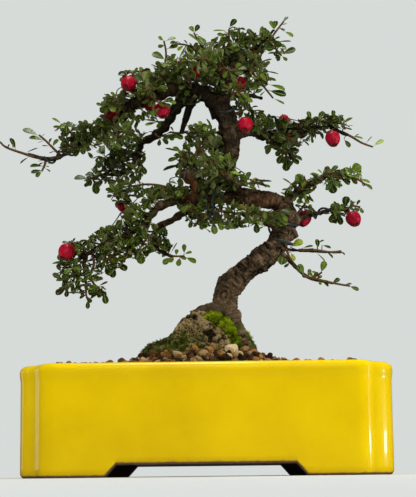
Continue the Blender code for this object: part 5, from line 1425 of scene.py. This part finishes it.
def insideOutline(places, outline):
    # a place is inside where a line to its left crosses the outline an odd number of times
    x, y = places[:, :1], places[:, 1:]
    start = np.array(outline, float)
    stop = np.roll(start, -1, axis=0)
    crosses = (start[:, 1] > y) != (stop[:, 1] > y)
    rise = np.where(stop[:, 1] == start[:, 1], 1.0, stop[:, 1] - start[:, 1])
    edge = start[:, 0] + (y - start[:, 1]) * (stop[:, 0] - start[:, 0]) / rise
    return (crosses & (x < edge)).sum(axis=1) % 2 == 1


def insidePads(points):
    # whether each point is seen within the outline of any mass
    places = inView(points)
    return np.any([insideOutline(places, outline) for outline in pads.values()], axis=0)


def keptLeaves(feet, ahead):
    # leaves whose outer half lies in a mass and not in front of bare wood
    kept = insidePads(feet + ahead * 4.2)
    places = inView(feet + ahead * 2.5)
    for depth, outline in bareWood:
        kept &= ~(insideOutline(places, outline) & (feet[:, 1] < depth))
    for name in shownBerries:
        middle = np.array(berries[name][0], float)
        near = np.linalg.norm(places - inView(middle[None]), axis=1) < 9
        kept &= ~(near & (feet[:, 1] < middle[1] + 2))
    return kept


def leafBlades(feet, ahead, up, length, slimness, fold, droop):
    # each blade is a flat four-sided tube along its midrib: left edge, rib, right edge and rib below. Its half
    # width widens to the blunt end, the edges rise by the fold, and the tip sinks with the square of the way
    along = np.array(leaf["stations"])[None, :, None]
    half = np.array(leaf["halfWidths"])[None, :, None]
    across = np.cross(up, ahead)
    size, width = length[:, None, None], (length * slimness / 2)[:, None, None]
    lift = np.array([1.0, 0.0, 1.0, 0.0]) * fold[:, None, None] * half * width
    thick = np.array([0.0, 0.5, 0.0, -0.5]) * leaf["thickness"] * (0.4 + 0.6 * half)
    side = np.array([-1.0, 0.0, 1.0, 0.0]) * half * width
    rise = lift + thick - droop[:, None, None] * along ** 2 * size
    rows = (feet[:, None, None] + ahead[:, None, None] * (along * size)[..., None]
            + across[:, None, None] * side[..., None] + up[:, None, None] * rise[..., None])
    tip = feet + ahead * length[:, None] - up * (droop * length)[:, None]
    count, rings = len(feet), len(leaf["stations"])
    points = np.concatenate([rows.reshape(count, -1, 3), feet[:, None], tip[:, None]], 1)
    walls, fans = ringFaces(rings, 4)
    step = (np.arange(count) * (rings * 4 + 2))[:, None, None]
    allWalls = (walls[None, :, ::-1] + step).reshape(-1, 4)
    allFans = (fans[None, :, ::-1] + step).reshape(-1, 3)
    under = np.concatenate([np.tile(np.tile([0, 0, 1, 1], rings - 1), count), np.tile([0, 0, 1, 1] * 2, count)])
    rib = np.tile(np.append(np.tile([1.0, 0.0, 1.0, 0.0], rings), [0.0, 0.6]), count)
    return points.reshape(-1, 3), [allWalls, allFans], under, rib


def leafSpots(route, draw, spacing, first, tips):
    # places for leaves along a twig, a golden turn apart, and a few that spread from its tip
    ahead, aside, over = crossWays(route)
    lengths = runLength(route)
    spots = np.arange(first, lengths[-1], spacing)
    spots = spots + draw.uniform(-0.25, 0.25, len(spots)) * spacing
    count = len(spots) + tips
    spots = np.append(spots, np.full(tips, lengths[-1] - 0.1))
    atTip = np.arange(count) >= count - tips
    read = [np.stack([np.interp(spots, lengths, values[:, axis]) for axis in range(3)], -1)
            for values in (route, ahead, aside, over)]
    turn = goldenTurn * np.arange(count) + draw.uniform(-0.5, 0.5, count)
    away = turned(turn, read[2], read[3])
    lean = np.radians(np.where(atTip, draw.uniform(10, 50, count), draw.uniform(38, 80, count)))
    way = unit(turned(lean, read[1], away) + (0, 0, 0.18))
    up = read[1] * 0.5 + (0, -0.1, 1.0) + draw.normal(scale=0.55, size=(count, 3))
    return read[0], way, up, draw.uniform(*leaf["length"], count)


def shootRoutes(route, draw, spacing, first, lengths, upward):
    # short shoots that leave a twig or branch in turn and bend up a little
    ahead, aside, over = crossWays(route)
    run = runLength(route)
    found = []
    for index, spot in enumerate(np.arange(first, run[-1] - 0.5, spacing)):
        nearest = int(np.searchsorted(run, spot + draw.uniform(-0.3, 0.3) * spacing))
        nearest = min(max(nearest, 0), len(route) - 1)
        turn = index * goldenTurn + draw.uniform(-0.6, 0.6)
        away = aside[nearest] * math.cos(turn) + over[nearest] * math.sin(turn)
        if away[2] < -0.45 and draw.uniform() < upward:
            away = -away
        way = unit(ahead[nearest] * draw.uniform(0.2, 0.7) + away)
        length = draw.uniform(*lengths)
        middle = route[nearest] + way * length * 0.55
        end = route[nearest] + way * length + (0, 0, 0.16 * length)
        if insidePads(end[None])[0]:
            found.append(smoothRoute([route[nearest], middle, end], 1.2)[0])
    return found


def leafTints(feet, draw):
    # each leaf's green, drawn towards the tint of the places that it lies near, which in the dark places is
    # painted shade
    tint = np.clip(draw.beta(1.6, 2.1, len(feet)) * 0.93 + 0.36 * noise(feet, 5.0, 41), 0, 0.95)
    places = inView(feet)
    for middle, reach, aim in tintAndShadePlaces:
        tint = tint + (aim - tint) * (bell(places, middle, reach) * 0.9)
    return tint


def dressTwigs(name, woods, leafed, draw, nodes, slimness="slimness", droop="droop", shade=1.0):
    # one piece: the twigs' tubes and all their leaves; shade multiplies the leaves' tints, painted shade below 1
    shapes = [tube(route, np.linspace(first, last, len(route)), sides) for route, first, last, sides in woods]
    woodPoints, woodFaces = joinShapes(shapes)
    feet, ahead, up, length = (np.concatenate(values) for values in zip(*leafed))
    count = len(feet)
    bladeForms = [draw.uniform(*leaf[key], count) for key in (slimness, "fold", droop)]
    blades, bladeFaces, under, rib = leafBlades(feet, ahead, squared(up, ahead), length, *bladeForms)
    each = len(blades) // count
    tint = np.repeat(leafTints(feet, draw) * shade, each)
    points, faces = joinShapes([(woodPoints, woodFaces), (blades, bladeFaces)])
    order = np.concatenate([np.full(sum(len(part) for part in woodFaces), 2), under])
    marks = {"tint": np.concatenate([np.full(len(woodPoints), 0.5), tint]),
             "rib": np.concatenate([np.ones(len(woodPoints)), rib]),
             "young": np.concatenate([np.full(len(woodPoints), 0.25), np.full(len(blades), 0.5)])}
    putPiece(name, points, faces, ["leafTop", "leafUnder", "twig"], "leaf_green",
             nodes, order, marks, sharp=62)
    return count


def pruned(leafed):
    # only the leaves that the masses' outlines keep
    for feet, ahead, up, length in leafed:
        kept = keptLeaves(feet, ahead)
        if kept.any():
            yield feet[kept], ahead[kept], up[kept], length[kept]


def growSpray(name, points, seed):
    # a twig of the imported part, cut off where it leaves the masses, with side shoots and leaves on all of them
    draw = np.random.default_rng(seed)
    route = smoothRoute(points, 1.2)[0]
    inside = np.flatnonzero(insidePads(route))
    route = route[:max(inside[-1] + 1 if len(inside) else 0, 4)]
    woods = [(route, *twig["radius"], 7)]
    leafed = [leafSpots(route, draw, leaf["spacing"], 1.5, 3)]
    for shoot in shootRoutes(route, draw, twig["shootSpacing"], 2.0, twig["shootLength"], 0.4):
        woods.append((shoot, *twig["shootRadius"], 5))
        leafed.append(leafSpots(shoot, draw, 1.5, 1.0, 3))
    grownTwigs.append(route)
    return dressTwigs(name.replace("spray_", "leaves_"), woods, list(pruned(leafed)), draw, [name])


def growSpurs(name, points, stretch, seed):
    # short leafy spurs all along the leafy stretch of a branch
    draw = np.random.default_rng(seed)
    route = smoothRoute(points, 1.0)[0]
    run = runLength(route) / runLength(route)[-1]
    kept = route[(run >= stretch[0]) & (run <= stretch[1])]
    shoots = shootRoutes(kept, draw, stretch[2] * 0.55, 0.3, (2.2, 5.0), 0.75)
    woods = [(shoot, *twig["shootRadius"], 5) for shoot in shoots]
    leafed = list(pruned(leafSpots(shoot, draw, 1.4, 1.5, 3) for shoot in shoots))
    return dressTwigs("spurs_" + name, woods, leafed, draw, []) if leafed else 0


def nearestWood(place):
    # the point of all the branches' and the trunk's middle lines that lies nearest
    return woodLine[np.linalg.norm(woodLine - place, axis=1).argmin()]


def growSeenTwig(name, startDepth, stopDepth, places, leaves, seed):
    # the twig and each of its leaves where the front view shows them
    draw = np.random.default_rng(seed)
    depths = np.linspace(startDepth, stopDepth, len(places))
    points = atView(places, depths)
    wood = nearestWood(points[0])
    if np.linalg.norm(wood - points[0]) > 1.0:
        points = np.vstack([wood, points])
    route = smoothRoute(points, 1.2)[0]
    rows = np.array([(*row, 0.55)[:5] for row in leaves], float)
    nearest = np.linalg.norm(inView(route)[None] - rows[:, None, :2], axis=2).argmin(axis=1)
    feet = atView(rows[:, :2], route[nearest, 1])
    tips = atView(rows[:, 2:4], route[nearest, 1] + draw.uniform(-1.6, 0.8, len(rows)))
    ahead = tips - feet
    length = np.linalg.norm(ahead, axis=1)
    ahead /= length[:, None]
    facing = rows[:, 4:]
    up = facing * (0, -1, 0) + (1.05 - facing) * (0, 0, 1)
    up = up + draw.normal(scale=0.12, size=up.shape)
    woods = [(route, *twig["radius"], 7)]
    for foot, spot in zip(feet, route[nearest]):
        if np.linalg.norm(foot - spot) > 0.5:
            woods.append((smoothRoute([spot, foot], 0.6)[0], 0.24, 0.18, 5))
    grownTwigs.append(route)
    nodes = [name] if name.startswith("spray_") else []
    return dressTwigs(name.replace("spray_", "leaves_"), woods, [(feet, ahead, up, length)], draw, nodes,
                      "seenSlimness", "seenDroop")


def fillPad(name, outline, wood, seed):
    # shoots from the nearest wood to places spread evenly over a mass, each with a few leaves at its end; their
    # leaves are darkened to six tenths, painted shade for the inside of the mass
    draw = np.random.default_rng(seed)
    low, high = np.min(outline, axis=0), np.max(outline, axis=0)
    spots = draw.uniform(low, high, (int(np.prod(high - low) / 5), 2))
    spots = spots[insideOutline(spots, outline)]
    taken = np.zeros((0, 2))
    for spot in spots:
        if not len(taken) or ((taken - spot) ** 2).sum(axis=1).min() > twig["padStep"] ** 2:
            taken = np.vstack([taken, spot])
    woodPlaces = inView(wood)
    woods, leafed = [], []
    for spot in taken:
        start = wood[((woodPlaces - spot) ** 2).sum(axis=1).argmin()]
        stop = atView(spot[None], start[1:2] + draw.normal(scale=twig["padDepth"]))[0]
        reach = np.linalg.norm(stop - start)
        if reach > twig["padReach"][1]:
            continue
        if reach < twig["padReach"][0]:
            stop = start + (stop - start) * twig["padReach"][0] / max(reach, 0.1)
        middle = (start + stop) / 2 + (0, 0, 0.08 * reach) + draw.normal(scale=0.05 * reach, size=3)
        route = smoothRoute([start, middle, stop], 1.2)[0]
        woods.append((route, *twig["shootRadius"], 5))
        leafed.append(leafSpots(route, draw, 1.5, max(reach - 5.0, 0.8), 3))
    return dressTwigs("shoots_" + name, woods, list(pruned(leafed)), draw, [], shade=0.6)


woodLine = np.concatenate([smoothRoute(points, 1.0)[0] for points, *_ in branches.values()]
                          + [smoothTable(trunkRoute, 1.0)[0]])
grownTwigs = []
leafCount = 0
for seed, (name, points) in enumerate(sprays.items()):
    leafCount += growSpray(name, points, 300 + seed)
for seed, (name, (startDepth, stopDepth, places, leaves)) in enumerate(seenTwigs.items()):
    leafCount += growSeenTwig(name, startDepth, stopDepth, places, leaves, 400 + seed)
for seed, (name, (points, *_, stretch)) in enumerate(branches.items()):
    leafCount += growSpurs(name, points, stretch, 500 + seed)
leafCount += growSpurs("crown", [place for place, _ in trunkRoute[-5:]], (0.1, 1.0, 1.7), 560)
allWood = np.concatenate([woodLine] + grownTwigs)
for seed, (name, outline) in enumerate(pads.items()):
    leafCount += fillPad(name, outline, allWood, 600 + seed)
print("leaves made:", leafCount)


# Berries

berryProfile = [(0.0, -0.80), (0.09, -0.82), (0.18, -0.92), (0.26, -1.04), (0.37, -1.07), (0.50, -0.98),
                (0.66, -0.78), (0.81, -0.52), (0.92, -0.22), (0.98, 0.08), (0.97, 0.36), (0.86, 0.62),
                (0.64, 0.82), (0.40, 0.92), (0.20, 0.93), (0.08, 0.88)]


def berryShape(centre, down, first, radius):
    # a turned profile in five soft lobes, with a sunk eye of five dry points at the blossom end
    reach, height = np.array(berryProfile).T
    fine = np.linspace(0, len(reach) - 1, 34)
    reach, height = (np.interp(fine, np.arange(len(reach)), values) for values in (reach, height))
    for _ in range(2):
        reach[1:-1] = (reach[:-2] + 2 * reach[1:-1] + reach[2:]) / 4
        height[1:-1] = (height[:-2] + 2 * height[1:-1] + height[2:]) / 4
    turn = turnsOf(berry["sides"])
    lobes = 1 + 0.05 * np.cos(5 * turn)[None] * smoothStep(-height, -0.2, 0.9)[:, None]
    ring = turned(turn, first, np.cross(-down, first))
    points = (centre + ring[None] * (reach[1:, None] * lobes[1:])[..., None] * radius
              - down * height[1:, None, None] * radius)
    points = points.reshape(-1, 3)
    poles = np.stack([centre - down * height[0] * radius, centre - down * 0.9 * radius])
    eye = np.repeat(smoothStep(-reach[1:], -0.31, -0.20) * (height[1:] < 0), berry["sides"])
    return np.vstack([points, poles]), ringFaces(len(reach) - 1, berry["sides"]), np.append(eye, [1, 0])


def makeBerry(name, middle, blossom, node, seed, size=1.0):
    # a berry, its stalk from the nearest wood, and dried sepals that close over its eye
    draw = np.random.default_rng(seed)
    radius = berry["radius"] * size
    centre, down = np.array(middle, float), unit(np.array(blossom, float))
    first = unit(np.cross(down, (0.2, 1.0, 0.1)))
    points, faces, eye = berryShape(centre, down, first, radius)
    top = centre - down * radius * 0.8
    bend = centre - down * radius * 1.35
    route = smoothRoute([top, bend, nearestWood(bend)], 0.8)[0]
    stalk, stalkFaces = tube(route, np.linspace(berry["stalk"], berry["stalk"] * 0.8, len(route)), 8)
    count = berry["sepals"]
    turn = 2 * math.pi * (np.arange(count) + draw.uniform()) / count
    out = turned(turn, first, np.cross(down, first))
    feet = centre + down * radius * 1.01 + out * radius * 0.24
    ahead = unit(-out * 0.8 + down * 0.35)
    length, *form = (np.full(count, value) for value in berry["sepal"])
    sepals, sepalFaces, _, _ = leafBlades(feet, ahead, squared(down + out * 0.4, ahead), length * size, *form)
    allPoints, allFaces = joinShapes([(points, faces), (stalk, stalkFaces), (sepals, sepalFaces)])
    skin = sum(len(part) for part in faces)
    rest = sum(len(part) for part in allFaces) - skin
    marks = {"eye": np.concatenate([eye, np.zeros(len(stalk)), np.ones(len(sepals))]),
             "young": np.full(len(allPoints), 0.1)}
    putPiece(name, allPoints, allFaces, ["berry", "twig"], "berry_red",
             [node] if node else [], np.concatenate([np.zeros(skin), np.ones(rest)]), marks)


for seed, (name, (middle, blossom)) in enumerate(berries.items()):
    makeBerry(name.replace("berry_", "pome_"), middle, blossom, name, 800 + seed)
for seed, (place, depth, size) in enumerate(smallBerries):
    middle = atView([place], [depth])[0]
    makeBerry("smallPome" + str(seed + 1), middle, (0.1, -0.5, -0.8), None, 830 + seed, size)
print("berries made")


# Training wires

wire = {"radius": 0.48, "sides": 10, "clearance": 0.1}
coils = {      # what it is wound on and the two end radii there, the stretch as shares, its pitch, and its node
    "wireLeft": (branches["left_high"][0], (3.6, 0.7), (0.70, 0.93), 9.0, ["wire_left"]),
    "wireRight": (branches["right_low"][0], (1.8, 0.7), (0.5, 0.95), 9.0, ["wire_right"]),
    "wireBend": (*zip(*trunkRoute), (0.36, 0.44), 9.0, []),
    "wireCrown": (*zip(*trunkRoute), (0.86, 0.93), 7.0, []),
    "wireLow": (branches["left_low"][0], (4.3, 0.9), (0.16, 0.27), 4.4, []),
}
looseWires = [      # pixels of the front view, and the depth at each
    ("wireNeck", [(233, 97), (237, 102), (236, 107), (230, 111), (222, 112), (216, 109), (213, 104)],
     [2.5, 0, -3.4, -5.6, -5.8, -3.8, 0.5]),
    ("wireLoop", [(213, 188), (208, 192), (206, 200), (207, 209), (211, 217), (214, 219), (213, 210), (212, 200),
                  (216, 192)], [-4, -8, -9.5, -9.5, -9, -8.5, -9.8, -10, -7]),
    ("wireStub", [(180, 190), (179, 182), (182, 174), (189, 170), (197, 172), (202, 177), (204, 184)],
     [-5, -9, -11, -12, -11, -9, -5]),
]


def putWire(name, route, nodes=()):
    # a round wire along a route
    putPiece(name, *tube(route, np.full(len(route), wire["radius"]), wire["sides"]), ["wire"],
             "wire_grey", nodes, sharp=50)


def makeCoil(name, points, radii, stretch, pitch, nodes):
    # a helix round the wood, one wire's radius off the bark, with its ends cut square
    if len(radii) != len(points):
        radii = np.linspace(*radii, len(points))
    route, radii = smoothRoute(points, 0.4, radii)
    share = runLength(route) / runLength(route)[-1]
    kept = (share >= stretch[0]) & (share <= stretch[1])
    route, radii = route[kept], radii[kept]
    _, across, over = crossWays(route)
    turn = 2 * math.pi * runLength(route) / pitch
    reach = (radii * 1.12 + wire["radius"] + wire["clearance"])[:, None]
    putWire(name, smoothRoute(route + reach * turned(turn, across, over), 0.45)[0], nodes)


for name, coil in coils.items():
    makeCoil(name, *coil)
for name, places, depths in looseWires:
    putWire(name, smoothRoute(atView(places, depths), 0.5)[0])
print("wires made")
